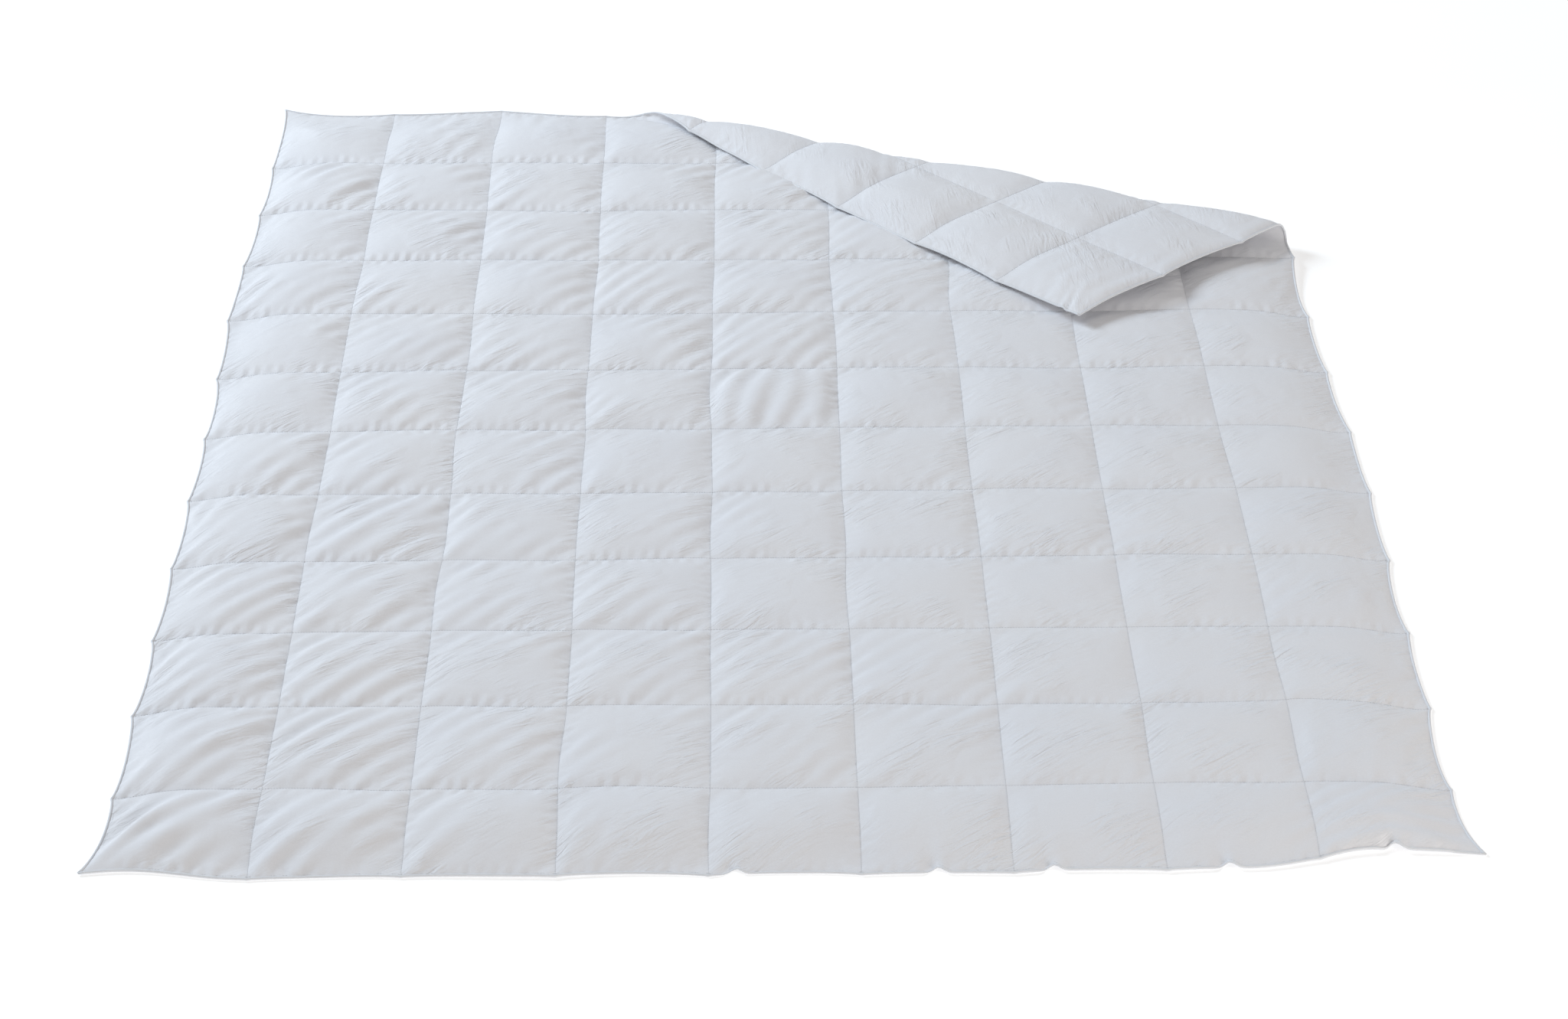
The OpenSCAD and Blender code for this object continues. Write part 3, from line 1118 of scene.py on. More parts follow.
def clip_line(line: np.ndarray, crease: Crease, part: Part) -> list[np.ndarray]:
    """The stretches of a flat line that lie on one side of the apex.

    Args:
        line: points as rows of x, y and height.
        crease: the fold.
        part: the side to keep.

    Returns:
        Each stretch, with its cut end exactly on the apex line.
    """
    side = part.value * (crease.across(line[:, 0], line[:, 1]) - crease.apex)
    runs, run = [], []
    for k, point in enumerate(line):
        if k and side[k] * side[k - 1] < 0:
            t = side[k - 1] / (side[k - 1] - side[k])
            run.append(line[k - 1] + t * (point - line[k - 1]))
            if side[k] < 0:
                runs.append(run)
                run = []
        if side[k] >= 0:
            run.append(point)
    runs.append(run)
    return [np.array(r) for r in runs if len(r) > 1]


@dataclass
class Piping:
    """A thin covered cord sewn along each edge, in four runs."""

    crease: Crease
    grid: SewnGrid
    finish: bpy.types.Material
    radius: float = 0.0017
    stand_off: float = 0.0008
    sides: int = 8

    def path(self, edge: str) -> np.ndarray:
        """The flat line down the middle of one run.

        Args:
            edge: near, far, left or right.

        Returns:
            Points as rows of x, y and height.
        """
        grid = self.grid
        pick = {"near": (0, slice(None)), "far": (-1, slice(None)),
                "left": (slice(None), 0), "right": (slice(None), -1)}[edge]
        line = np.stack([grid.sewn_x[pick], grid.sewn_y[pick], grid.base_h[pick]], axis=1)
        shift = {"near": (0, -1), "far": (0, 1), "left": (-1, 0), "right": (1, 0)}[edge]
        line[:, :2] += np.array(shift) * self.stand_off
        other = 0 if edge in ("near", "far") else 1
        line[0, other] -= self.stand_off
        line[-1, other] += self.stand_off
        return line

    def tube(self, line: np.ndarray) -> Patch:
        """A closed tube round a flat line, cut square to the crease where it meets the apex.

        Args:
            line: points as rows of x, y and height.

        Returns:
            The tube, with closed ends.
        """
        tangent = np.gradient(line, axis=0)
        tangent /= np.linalg.norm(tangent, axis=1, keepdims=True)
        out = np.stack([tangent[:, 1], -tangent[:, 0], np.zeros(len(line))], axis=1)
        up = np.cross(out, tangent)
        turn = np.linspace(0, 2 * np.pi, self.sides, endpoint=False)
        cos, sin = np.cos(turn)[None, :, None], np.sin(turn)[None, :, None]
        ring = cos * out[:, None] + sin * up[:, None]
        points = line[:, None] + self.radius * ring
        for end in (0, -1):
            if abs(self.crease.across(line[end, 0], line[end, 1]) - self.crease.apex) < 1e-6:
                lead = self.crease.across(points[end, :, 0], points[end, :, 1]) - self.crease.apex
                slope = self.crease.across(tangent[end, 0], tangent[end, 1])
                points[end] -= (lead / slope)[:, None] * tangent[end]
        run = np.concatenate([[0], np.cumsum(np.linalg.norm(np.diff(line, axis=0), axis=1))])
        cloth = np.stack(np.broadcast_arrays(run[:, None], turn[None, :] * self.radius), axis=-1)
        rings, n = len(line), self.sides
        i, j = np.meshgrid(np.arange(rings - 1), np.arange(n), indexing="ij")
        k = (j + 1) % n
        quads = np.stack([i * n + j, i * n + k, (i + 1) * n + k, (i + 1) * n + j], axis=-1)
        quads = quads.reshape(-1, 4)
        caps = np.concatenate([np.arange(n)[::-1], (rings - 1) * n + np.arange(n)])
        return Patch(points.reshape(-1, 3), cloth.reshape(-1, 2),
                     np.concatenate([quads.ravel(), caps]),
                     np.concatenate([np.full(len(quads), 4), [n, n]])).flipped()

    def make(self) -> list[bpy.types.Object]:
        """Builds every run, split where the far and right ones cross the fold.

        Returns:
            The pieces of piping.
        """
        made = []
        for edge in ("near", "left", "far", "right"):
            line = self.path(edge)
            for part in Part:
                for stretch in clip_line(line, self.crease, part):
                    name = f"piping_run_{edge}" + ("_corner" if part is Part.CORNER else "")
                    piece = self.tube(stretch).to_object(name, self.crease, self.finish)
                    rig.slot(piece, "piping_cloth")
                    if part is Part.CORNER:
                        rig.blend(piece, "turn", "corner", *self.crease.ramps(part))
                        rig.replaces(piece, f"corner_piping_{edge}")
                    elif edge in ("far", "right"):
                        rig.blend(piece, "field", "turn", *self.crease.ramps(part))
                        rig.replaces(piece, f"piping_{edge}", f"turn_piping_{edge}")
                    else:
                        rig.ride(piece, "field")
                        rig.replaces(piece, f"piping_{edge}")
                    LOG.info("%s: %d rings", name, len(stretch))
                    made.append(piece)
        return made


@dataclass(frozen=True)
class StitchTree:
    """The node tree that lays stitches of thread along a line.

    Attributes:
        pitch: distance from one stitch to the next.
        length: length of thread seen in one stitch.
        thread: thickness of the thread.
        seed: seed of the small differences between stitches.
    """

    pitch: float = 0.0034
    length: float = 0.0029
    thread: float = 0.0006
    seed: int = 11

    def build(self, finish: bpy.types.Material) -> bpy.types.NodeTree:
        """Makes the tree, with its sizes as named inputs.

        Args:
            finish: the thread's material.

        Returns:
            The new geometry node tree.
        """
        tree = bpy.data.node_groups.new("stitches", "GeometryNodeTree")
        put = tree.interface.new_socket
        put("Line", in_out="INPUT", socket_type="NodeSocketGeometry")
        sizes = {"Pitch": self.pitch, "Length": self.length, "Thread": self.thread}
        for name, value in sizes.items():
            put(name, in_out="INPUT", socket_type="NodeSocketFloat").default_value = value
        put("Seed", in_out="INPUT", socket_type="NodeSocketInt").default_value = self.seed
        put("Stitches", in_out="OUTPUT", socket_type="NodeSocketGeometry")
        node, link = tree.nodes.new, tree.links.new
        given, out = node("NodeGroupInput"), node("NodeGroupOutput")
        curve, points = node("GeometryNodeMeshToCurve"), node("GeometryNodeCurveToPoints")
        points.mode = "LENGTH"
        bead, turn = node("GeometryNodeMeshUVSphere"), node("FunctionNodeAlignRotationToVector")
        turn.axis = "Z"
        bead.inputs["Segments"].default_value = 5
        bead.inputs["Rings"].default_value = 3
        bead.inputs["Radius"].default_value = 0.5
        vary, size = node("FunctionNodeRandomValue"), node("ShaderNodeCombineXYZ")
        vary.data_type = "FLOAT"
        floats = [s for s in vary.inputs if s.type == "VALUE"]
        floats[0].default_value, floats[1].default_value = 0.9, 1.06
        long = node("ShaderNodeMath")
        long.operation = "MULTIPLY"
        place, real = node("GeometryNodeInstanceOnPoints"), node("GeometryNodeRealizeInstances")
        dress = node("GeometryNodeSetMaterial")
        dress.inputs["Material"].default_value = finish
        link(given.outputs["Line"], curve.inputs["Mesh"])
        link(curve.outputs["Curve"], points.inputs["Curve"])
        link(given.outputs["Pitch"], points.inputs["Length"])
        link(points.outputs["Tangent"], turn.inputs["Vector"])
        link(given.outputs["Seed"], vary.inputs["Seed"])
        link(next(s for s in vary.outputs if s.type == "VALUE"), long.inputs[0])
        link(given.outputs["Length"], long.inputs[1])
        link(given.outputs["Thread"], size.inputs["X"])
        link(given.outputs["Thread"], size.inputs["Y"])
        link(long.outputs["Value"], size.inputs["Z"])
        link(points.outputs["Points"], place.inputs["Points"])
        link(bead.outputs["Mesh"], place.inputs["Instance"])
        link(turn.outputs["Rotation"], place.inputs["Rotation"])
        link(size.outputs["Vector"], place.inputs["Scale"])
        link(place.outputs["Instances"], real.inputs["Geometry"])
        link(real.outputs["Geometry"], dress.inputs["Geometry"])
        link(dress.outputs["Geometry"], out.inputs["Stitches"])
        return tree


@dataclass
class Quilting:
    """The thread of the lengthwise and crosswise seams and of the edge stitching."""

    crease: Crease
    grid: SewnGrid
    finish: bpy.types.Material
    stitch: StitchTree = StitchTree()
    above: float = 0.00035
    inset: float = 0.003

    def lines(self, seam: str) -> list[np.ndarray]:
        """The flat lines of one kind of seam.

        Args:
            seam: lengthwise, crosswise or edge.

        Returns:
            Lines as rows of x, y and height.
        """
        grid = self.grid
        laid = np.stack([grid.sewn_x, grid.sewn_y, grid.base_h], axis=-1)
        if seam == "lengthwise":
            return [laid[1:-1, c] for c in grid.seam_columns[1:-1]]
        if seam == "crosswise":
            return [laid[r, 1:-1] for r in grid.seam_rows[1:-1]]
        step_x, step_y = grid.line_x[1] - grid.line_x[0], grid.line_y[1] - grid.line_y[0]
        tx, ty = self.inset / step_x, self.inset / step_y
        rows = [laid[0] + ty * (laid[1] - laid[0]), laid[-1] + ty * (laid[-2] - laid[-1])]
        sides = [laid[:, 0] + tx * (laid[:, 1] - laid[:, 0]),
                 laid[:, -1] + tx * (laid[:, -2] - laid[:, -1])]
        return [line[1:-1] for line in rows + sides]

    def sew(self, name: str, lines: Iterable[np.ndarray], tree: bpy.types.NodeTree,
            ) -> bpy.types.Object:
        """Runs the tree along flat lines and lays the stitches in place.

        Args:
            name: the piece's name.
            lines: flat lines as rows of x, y and height.
            tree: the stitch tree.

        Returns:
            A plain mesh object of separate stitches.
        """
        points, edges = [], []
        for line in lines:
            for face in Face:
                first = sum(len(p) for p in points)
                points.append(line + np.array([0, 0, face.value * self.above]))
                edges += [(first + k, first + k + 1) for k in range(len(line) - 1)]
        path = bpy.data.meshes.new(name + "_path")
        path.from_pydata(np.concatenate(points), edges, [])
        carrier = bpy.data.objects.new(name, path)
        bpy.context.scene.collection.objects.link(carrier)
        modifier = carrier.modifiers.new("stitches", "NODES")
        modifier.node_group = tree
        sizes = {"Pitch": self.stitch.pitch, "Length": self.stitch.length,
                 "Thread": self.stitch.thread, "Seed": self.stitch.seed}
        for item in tree.interface.items_tree:
            if item.in_out == "INPUT" and item.name in sizes:
                modifier[item.identifier] = sizes[item.name]
        bpy.context.view_layer.update()
        graph = bpy.context.evaluated_depsgraph_get()
        mesh = bpy.data.meshes.new_from_object(carrier.evaluated_get(graph))
        carrier.modifiers.remove(modifier)
        carrier.data = mesh
        bpy.data.meshes.remove(path)
        flat = np.zeros(len(mesh.vertices) * 3)
        mesh.vertices.foreach_get("co", flat)
        mesh.vertices.foreach_set("co", self.crease.fold(flat.reshape(-1, 3)).ravel())
        mesh.polygons.foreach_set("use_smooth", np.ones(len(mesh.polygons), bool))
        mesh.update()
        LOG.info("%s: %d faces", name, len(mesh.polygons))
        return carrier

    def make(self) -> list[bpy.types.Object]:
        """Sews every seam, once for each side of the fold.

        Returns:
            The pieces of stitching.
        """
        tree, made = self.stitch.build(self.finish), []
        nodes = {"lengthwise": "lengthwise_seams", "crosswise": "crosswise_seams",
                 "edge": "edge_stitching"}
        for seam, node in nodes.items():
            for part in Part:
                runs = [r for line in self.lines(seam) for r in clip_line(line, self.crease, part)]
                name = f"{seam}_thread" + ("_corner" if part is Part.CORNER else "")
                piece = self.sew(name, runs, tree)
                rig.slot(piece, "thread")
                pair = ("turn", "corner") if part is Part.CORNER else ("field", "turn")
                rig.blend(piece, *pair, *self.crease.ramps(part))
                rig.replaces(piece, f"corner_{node}" if part is Part.CORNER else node)
                made.append(piece)
        return made


@dataclass
class Filling:
    """A pad of down in each box, held a little away from the covers."""

    plan: QuiltPlan
    crease: Crease
    top: Cover
    bottom: Cover
    finish: bpy.types.Material
    gap: float = 0.0006
    least: float = 0.0003
    spread: int = 5
    inset: int = 5
    fill: float = 0.55
    heights: dict[Face, np.ndarray] = field(default_factory=dict)

    def hollow(self, cover: Cover) -> np.ndarray:
        """The least height of a cover above its seams near each grid point.

        Args:
            cover: the top or the bottom cover.

        Returns:
            One height for each grid point.
        """
        if cover.face not in self.heights:
            least = np.abs(cover.points[2] - cover.grid.base_h)
            for axis in (0, 1):
                shifted = [np.roll(least, k, axis) for k in range(-self.spread, self.spread + 1)]
                least = np.min(shifted, axis=0)
            self.heights[cover.face] = least
        return self.heights[cover.face]

    def pad(self, row: int, column: int, part: Part) -> Patch | None:
        """The part of one box's pad on one side of the apex.

        Args:
            row: the box's row, from 0.
            column: its column, from 0.
            part: the side of the apex to keep.

        Returns:
            A closed pad, or None where none of it is on that side.
        """
        grid = self.top.grid
        limits = (grid.seam_rows[row], grid.seam_rows[row + 1]), (
            grid.seam_columns[column], grid.seam_columns[column + 1])
        reach = [self.crease.across(grid.x[r, c], grid.y[r, c]) - self.crease.start
                 for r in limits[0] for c in limits[1]]
        count = 18 if min(reach) < 0.06 and max(reach) > -0.02 else 6
        picks = (np.linspace(lo + self.inset, hi - self.inset, count + 1) for lo, hi in limits)
        pick = np.ix_(*(np.round(at).astype(int) for at in picks))
        layers = []
        for cover in (self.top, self.bottom):
            x, y, _ = (layer[pick] for layer in cover.points)
            base, way = cover.grid.base_h[pick], cover.face.value
            thick = np.maximum(0.8 * self.hollow(cover)[pick] - self.gap, self.least)
            if way < 0:
                thick = np.minimum(thick, self.plan.seam_height - 0.001)
            layers.append(np.stack([x, y, base + way * thick], axis=-1).reshape(-1, 3))
        side = self.crease.across(layers[0][:, 0], layers[0][:, 1]) - self.crease.apex
        faces, both = cut_faces(grid_quads((count + 1, count + 1)), part.value * side,
                                np.hstack(layers))
        if not faces:
            return None
        upper, lower = both[:, :3], both[:, 3:]
        directed = {(r[k], r[(k + 1) % len(r)]) for r in faces for k in range(len(r))}
        n = len(upper)
        rim = [[b, a, a + n, b + n] for a, b in directed if (b, a) not in directed]
        shell = faces + [[v + n for v in reversed(r)] for r in faces] + sorted(rim)
        used, packed = np.unique([v for r in shell for v in r], return_inverse=True)
        points = np.vstack([upper, lower])[used]
        return Patch(points, points[:, :2], packed, np.array([len(r) for r in shell]))

    def make(self) -> list[bpy.types.Object]:
        """Builds the pads, one piece for each row and each side of the fold.

        Returns:
            The pieces of filling.
        """
        made = []
        for row in range(self.plan.rows):
            for part in Part:
                pads = [self.pad(row, column, part) for column in range(self.plan.columns)]
                pads = [p for p in pads if p is not None]
                if not pads:
                    continue
                shift = np.cumsum([0] + [len(p.points) for p in pads])
                whole = Patch(np.vstack([p.points for p in pads]),
                              np.vstack([p.cloth for p in pads]),
                              np.concatenate([p.corners + s for p, s in zip(pads, shift)]),
                              np.concatenate([p.counts for p in pads]))
                folded = part is Part.CORNER
                name = f"down_row_{row + 1:02d}" + ("_corner" if folded else "")
                piece = whole.to_object(name, self.crease, self.finish)
                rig.slot(piece, "filling")
                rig.padded(piece, fill=self.fill)
                node = f"fill_row_{row + 1:02d}"
                far = float(self.crease.across(whole.points[:, 0], whole.points[:, 1]).max())
                if folded:
                    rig.blend(piece, "turn", "corner", *self.crease.ramps(part))
                    node = f"corner_{node}"
                elif far > self.crease.start - 0.02:
                    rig.blend(piece, "field", "turn", *self.crease.ramps(part))
                else:
                    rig.ride(piece, "field")
                if node in frame["nodes"]:
                    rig.replaces(piece, node)
                if folded and row == self.plan.rows - 1:
                    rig.replaces(piece, "turn_fill")
                LOG.info("%s: %d pads", name, len(pads))
                made.append(piece)
        return made


class NodeSketch:
    """A material's node tree, drawn with short calls."""

    def __init__(self, name: str) -> None:
        """Starts a material with an empty Principled shader.

        Args:
            name: the material's name.
        """
        self.material = bpy.data.materials.new(name)
        self.material.use_nodes = True
        self.tree = self.material.node_tree
        self.shader = self.tree.nodes["Principled BSDF"]

    def add(self, kind: str, settings: dict[str, object] | None = None,
            **inputs: object) -> bpy.types.Node:
        """Adds a node.

        Args:
            kind: the node's type, without its ShaderNode prefix.
            settings: properties of the node itself.
            **inputs: a value or another node's output for each named input.

        Returns:
            The new node.
        """
        node = self.tree.nodes.new("ShaderNode" + kind)
        for key, value in (settings or {}).items():
            setattr(node, key, value)
        for key, value in inputs.items():
            self.put(node, key.replace("_", " "), value)
        return node

    def put(self, node: bpy.types.Node, name: str, value: object) -> None:
        """Sets one input of a node to a value or links it to an output.

        Args:
            node: the node.
            name: the input's name.
            value: a value, or another node's output.
        """
        socket = node.inputs[name]
        if isinstance(value, bpy.types.NodeSocket):
            self.tree.links.new(value, socket)
        else:
            socket.default_value = value

    def ramp(self, fac: bpy.types.NodeSocket, stops: Sequence[tuple[float, tuple]],
             ) -> bpy.types.NodeSocket:
        """Adds a colour ramp and returns its colour.

        Args:
            fac: the output that drives the ramp.
            stops: a place and a colour for each stop.

        Returns:
            The ramp's colour output.
        """
        node = self.add("ValToRGB", Fac=fac)
        elements = node.color_ramp.elements
        for k, (at, colour) in enumerate(stops):
            element = elements[k] if k < 2 else elements.new(at)
            element.position, element.color = at, (*colour, 1.0)
        return node.outputs["Color"]

    def bump(self, height: bpy.types.NodeSocket, distance: float, strength: float = 1.0,
             under: bpy.types.NodeSocket | None = None) -> bpy.types.NodeSocket:
        """Adds a bump on top of another and returns the normal.

        Args:
            height: the output that gives the height.
            distance: the height of a value of 1, in metres.
            strength: how far the normal is turned.
            under: the normal of the bump below.

        Returns:
            The bump's normal output.
        """
        node = self.add("Bump", Height=height, Distance=distance, Strength=strength)
        if under is not None:
            self.put(node, "Normal", under)
        return node.outputs["Normal"]

    def product(self, a: bpy.types.NodeSocket, b: bpy.types.NodeSocket) -> bpy.types.NodeSocket:
        """Multiplies two outputs.

        Args:
            a: one output.
            b: the other.

        Returns:
            The product's output.
        """
        node = self.add("Math", {"operation": "MULTIPLY"})
        self.tree.links.new(a, node.inputs[0])
        self.tree.links.new(b, node.inputs[1])
        return node.outputs["Value"]

    def mottle(self, pattern: bpy.types.Node, colour: tuple[float, float, float], dim: float,
               low: float = 0.3, high: float = 0.7) -> None:
        """Colours the surface after a pattern.

        Args:
            pattern: the node that makes the pattern.
            colour: the colour where the pattern is high.
            dim: the share of that colour where it is low.
            low: the value of the pattern that gives the dim colour.
            high: the value that gives the full colour.
        """
        stops = [(low, tuple(dim * c for c in colour)), (high, colour)]
        self.put(self.shader, "Base Color", self.ramp(pattern.outputs["Fac"], stops))


@dataclass(frozen=True)
class CottonFinish:
    """Bleached down-proof cotton: a tight weave, faint crinkles and a soft bloom."""

    name: str = "bleached_cotton"
    cool: tuple[float, float, float] = (0.860, 0.865, 0.898)
    warm: tuple[float, float, float] = (0.877, 0.875, 0.895)
    yarn: float = 0.00045
    weave_depth: float = 0.00002
    crinkle_depth: float = 0.0010
    pull_depth: float = 0.0056
    pull_size: tuple[float, float, float] = (0.055, 0.0095, 1.0)
    pull_slant: float = 0.62
    roughness: float = 0.78
    roughness_swing: float = 0.05

    def make(self) -> bpy.types.Material:
        """Builds the material.

        Returns:
            The material.
        """
        s = NodeSketch(self.name)
        place = s.add("TexCoord")
        flat, solid = place.outputs["UV"], place.outputs["Object"]
        clouds = s.add("TexNoise", Vector=solid, Scale=5.0, Detail=3.0, Roughness=0.6)
        tone = s.ramp(clouds.outputs["Fac"], [(0.3, self.cool), (0.7, self.warm)])
        fine = s.add("TexNoise", Vector=flat, Scale=420.0, Detail=2.0)
        speck = s.ramp(fine.outputs["Fac"], [(0.3, (0.97, 0.97, 0.97)), (0.7, (1, 1, 1))])
        colour = s.add("Mix", {"data_type": "RGBA", "blend_type": "MULTIPLY"})
        floats = [k for k in colour.inputs if k.type == "RGBA"]
        colour.inputs[0].default_value = 1.0
        s.tree.links.new(tone, floats[0])
        s.tree.links.new(speck, floats[1])
        s.put(s.shader, "Base Color", next(k for k in colour.outputs if k.type == "RGBA"))
        rough = s.add("MapRange", Value=clouds.outputs["Fac"],
                      To_Min=self.roughness - self.roughness_swing,
                      To_Max=self.roughness + self.roughness_swing)
        s.put(s.shader, "Roughness", rough.outputs["Result"])
        s.put(s.shader, "Sheen Weight", 0.18)
        s.put(s.shader, "Sheen Roughness", 0.45)
        s.put(s.shader, "Specular IOR Level", 0.25)
        warp, weft = (s.add("TexWave", {"wave_type": "BANDS", "bands_direction": way},
                            Vector=flat, Scale=WAVE_PERIOD / self.yarn) for way in "XY")
        woven = s.bump(s.product(warp.outputs["Fac"], weft.outputs["Fac"]), self.weave_depth)
        creases = s.add("TexNoise", {"noise_type": "RIDGED_MULTIFRACTAL"}, Vector=flat, Scale=26.0,
                        Detail=3.0, Roughness=0.5, Distortion=0.6)
        creased = s.bump(creases.outputs["Fac"], self.crinkle_depth, 0.5, woven)
        slant = s.add("Mapping", {"vector_type": "TEXTURE"}, Vector=flat,
                      Rotation=(0, 0, self.pull_slant), Scale=self.pull_size)
        pulls = s.add("TexNoise", Vector=slant.outputs["Vector"], Scale=1.0, Detail=3.0,
                      Roughness=0.55, Distortion=1.1)
        patches = s.add("TexNoise", Vector=flat, Scale=11.0, Detail=2.0)
        strength = s.add("MapRange", Value=patches.outputs["Fac"], From_Min=0.45, From_Max=0.68)
        height = s.product(pulls.outputs["Fac"], strength.outputs["Result"])
        s.put(s.shader, "Normal", s.bump(height, self.pull_depth, 0.65, creased))
        return s.material


@dataclass(frozen=True)
class PipingFinish:
    """Bias-cut cotton wrapped round a cord, with a slanting weave."""

    name: str = "piping_cotton"
    colour: tuple[float, float, float] = (0.84, 0.855, 0.885)

    def make(self) -> bpy.types.Material:
        """Builds the material.

        Returns:
            The material.
        """
        s = NodeSketch(self.name)
        place = s.add("TexCoord")
        turned = s.add("Mapping", Vector=place.outputs["UV"], Rotation=(0, 0, 0.785))
        slant = s.add("TexWave", {"wave_type": "BANDS", "bands_direction": "X"},
                      Vector=turned.outputs["Vector"], Scale=520.0, Distortion=0.4)
        clouds = s.add("TexNoise", Vector=place.outputs["Object"], Scale=18.0, Detail=2.0)
        s.mottle(clouds, self.colour, dim=0.95)
        s.put(s.shader, "Roughness", 0.75)
        s.put(s.shader, "Sheen Weight", 0.15)
        s.put(s.shader, "Normal", s.bump(slant.outputs["Fac"], 0.00005))
        return s.material


@dataclass(frozen=True)
class ThreadFinish:
    """White polyester thread with a twist and a slight gloss."""

    name: str = "white_thread"
    colour: tuple[float, float, float] = (0.80, 0.81, 0.83)

    def make(self) -> bpy.types.Material:
        """Builds the material.

        Returns:
            The material.
        """
        s = NodeSketch(self.name)
        place = s.add("TexCoord")
        twist = s.add("TexWave", {"wave_type": "BANDS", "bands_direction": "DIAGONAL"},
                      Vector=place.outputs["Object"], Scale=600.0)
        s.mottle(twist, self.colour, dim=0.9, low=0.0, high=1.0)
        s.put(s.shader, "Roughness", 0.5)
        s.put(s.shader, "Normal", s.bump(twist.outputs["Fac"], 0.00003))
        return s.material


@dataclass(frozen=True)
class DownFinish:
    """White down: soft clusters with no shine."""

    name: str = "white_down"
    colour: tuple[float, float, float] = (0.86, 0.85, 0.83)

    def make(self) -> bpy.types.Material:
        """Builds the material.

        Returns:
            The material.
        """
        s = NodeSketch(self.name)
        place = s.add("TexCoord")
        tufts = s.add("TexNoise", Vector=place.outputs["Object"], Scale=160.0, Detail=5.0)
        s.mottle(tufts, self.colour, dim=0.88)
        s.put(s.shader, "Roughness", 0.95)
        s.put(s.shader, "Sheen Weight", 0.3)
        s.put(s.shader, "Normal", s.bump(tufts.outputs["Fac"], 0.002))
        return s.material


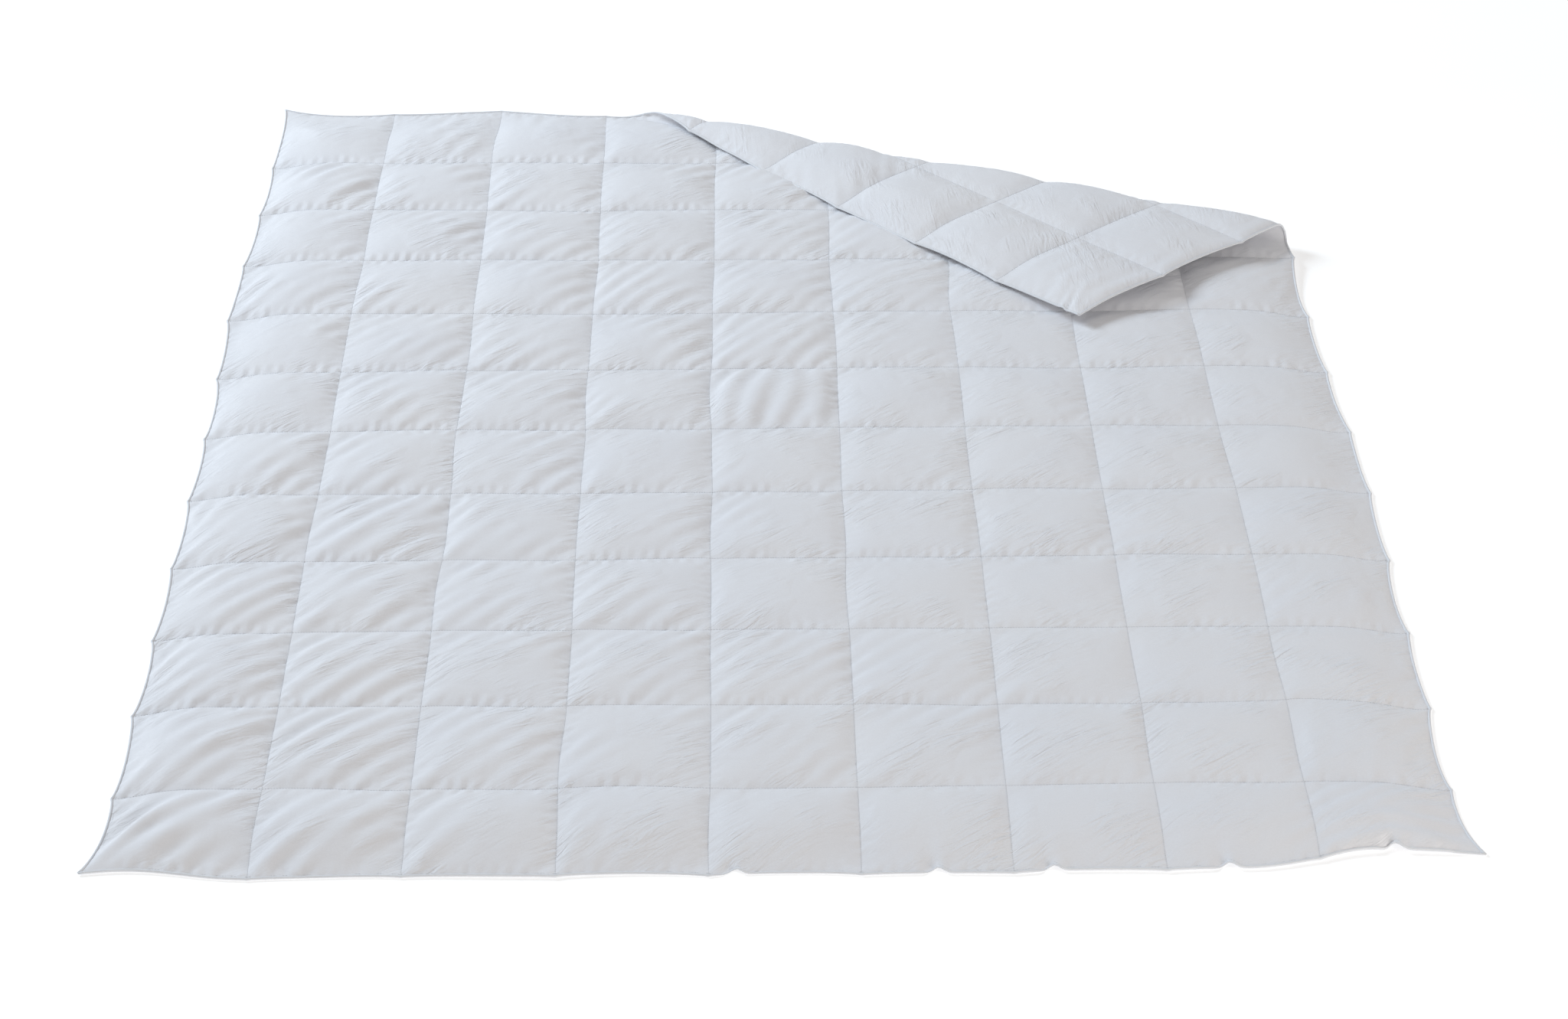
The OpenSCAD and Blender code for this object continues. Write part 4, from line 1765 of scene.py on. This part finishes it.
@dataclass(frozen=True)
class Studio:
    """The pale floor, the soft light and the camera."""

    eye: tuple[float, float, float] = (-0.0429, -4.2504, 2.4073)
    forward: tuple[float, float, float] = (0.01115824, 0.85934139, -0.51128062)
    lens: float = 82.2
    key_at: tuple[float, float, float] = (-5.4, 3.2, 4.0)
    key_size: float = 3.0
    key_power: float = 384.0
    key_colour: tuple[float, float, float] = (0.765, 0.885, 1.0)
    fill_at: tuple[float, float, float] = (3.2, -3.4, 1.1)
    fill_size: float = 2.4
    fill_power: float = 62.0
    fill_colour: tuple[float, float, float] = (1.0, 0.95, 0.89)
    sky: float = 0.410
    sky_colour: tuple[float, float, float, float] = (1.0, 0.980, 0.965, 1.0)
    floor_glow: float = 0.36
    floor_half: float = 30.0

    def floor(self) -> bpy.types.Object:
        """A plain pale floor under the quilt.

        Returns:
            The floor.
        """
        s = NodeSketch("pale_floor")
        place = s.add("TexCoord")
        mottle = s.add("TexNoise", Vector=place.outputs["Object"], Scale=2.0, Detail=2.0)
        s.put(s.shader, "Base Color",
              s.ramp(mottle.outputs["Fac"], [(0.3, (0.93, 0.93, 0.93)), (0.7, (0.95, 0.95, 0.95))]))
        s.put(s.shader, "Roughness", 0.9)
        s.put(s.shader, "Specular IOR Level", 0.1)
        s.put(s.shader, "Emission Color", (1.0, 1.0, 1.0, 1.0))
        s.put(s.shader, "Emission Strength", self.floor_glow)
        half = self.floor_half
        corners = np.array([[-half, -half, 0], [half, -half, 0], [half, half, 0], [-half, half, 0]])
        made = mesh_object("floor", corners, np.arange(4), np.array([4]), s.material)
        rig.stage(made)
        return made

    def lamp(self, name: str, at: tuple[float, float, float], size: float, power: float,
             colour: tuple[float, float, float]) -> None:
        """Adds a round soft light aimed at the middle of the quilt.

        Args:
            name: the light's name.
            at: where it stands.
            size: its diameter.
            power: its power.
            colour: its colour.
        """
        data = bpy.data.lights.new(name, "AREA")
        data.shape, data.size, data.energy, data.color = "DISK", size, power, colour
        made = bpy.data.objects.new(name, data)
        made.location = at
        made.rotation_euler = (-Vector(at)).to_track_quat("-Z", "Y").to_euler()
        bpy.context.scene.collection.objects.link(made)

    def lights(self) -> None:
        """A bright even sky, a cool soft key from the far left and a weak warm fill opposite."""
        scene = bpy.context.scene
        scene.world = bpy.data.worlds.new("studio")
        scene.world.use_nodes = True
        back = scene.world.node_tree.nodes["Background"]
        back.inputs["Color"].default_value = self.sky_colour
        back.inputs["Strength"].default_value = self.sky
        self.lamp("key", self.key_at, self.key_size, self.key_power, self.key_colour)
        self.lamp("fill", self.fill_at, self.fill_size, self.fill_power, self.fill_colour)

    def camera(self) -> None:
        """A long lens looking down on the quilt from its near side."""
        data = bpy.data.cameras.new("camera")
        data.lens, data.sensor_width = self.lens, 36.0
        data.clip_start, data.clip_end = 0.1, 100.0
        made = bpy.data.objects.new("camera", data)
        made.location = self.eye
        made.rotation_euler = Vector(self.forward).to_track_quat("-Z", "Y").to_euler()
        bpy.context.scene.collection.objects.link(made)
        bpy.context.scene.camera = made
        bpy.context.scene.view_settings.view_transform = "Standard"


def write_sizes(cad: tuple[Vector, Vector]) -> None:
    """Writes the CAD's box and the finished model's box.

    Args:
        cad: the lowest and highest corners of the CAD.
    """
    sizes = {"cad": [list(v) for v in cad], "visual": [list(v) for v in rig.bounds()]}
    with open(SIZE_FILE, "w", encoding="utf-8") as out:
        json.dump(sizes, out)


def main() -> None:
    """Builds the quilt, dresses it and lights it."""
    logging.basicConfig(level=logging.INFO, format="%(message)s")
    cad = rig.bounds()
    plan = QuiltPlan.from_frame()
    crease = Crease.from_frame(plan)
    studio = Studio()
    studio.camera()
    cotton = CottonFinish().make()
    cells = 20 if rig.quick() else 42
    top = Cover(plan, crease, Face.TOP, cells, 3, cotton)
    bottom = Cover(plan, crease, Face.BOTTOM, cells, 47, cotton)
    for cover in (top, bottom):
        cover.make()
    Piping(crease, top.grid, PipingFinish().make()).make()
    Quilting(crease, top.grid, ThreadFinish().make()).make()
    Filling(plan, crease, top, bottom, DownFinish().make()).make()
    studio.floor()
    studio.lights()
    write_sizes(cad)


if __name__ == "__main__":
    main()
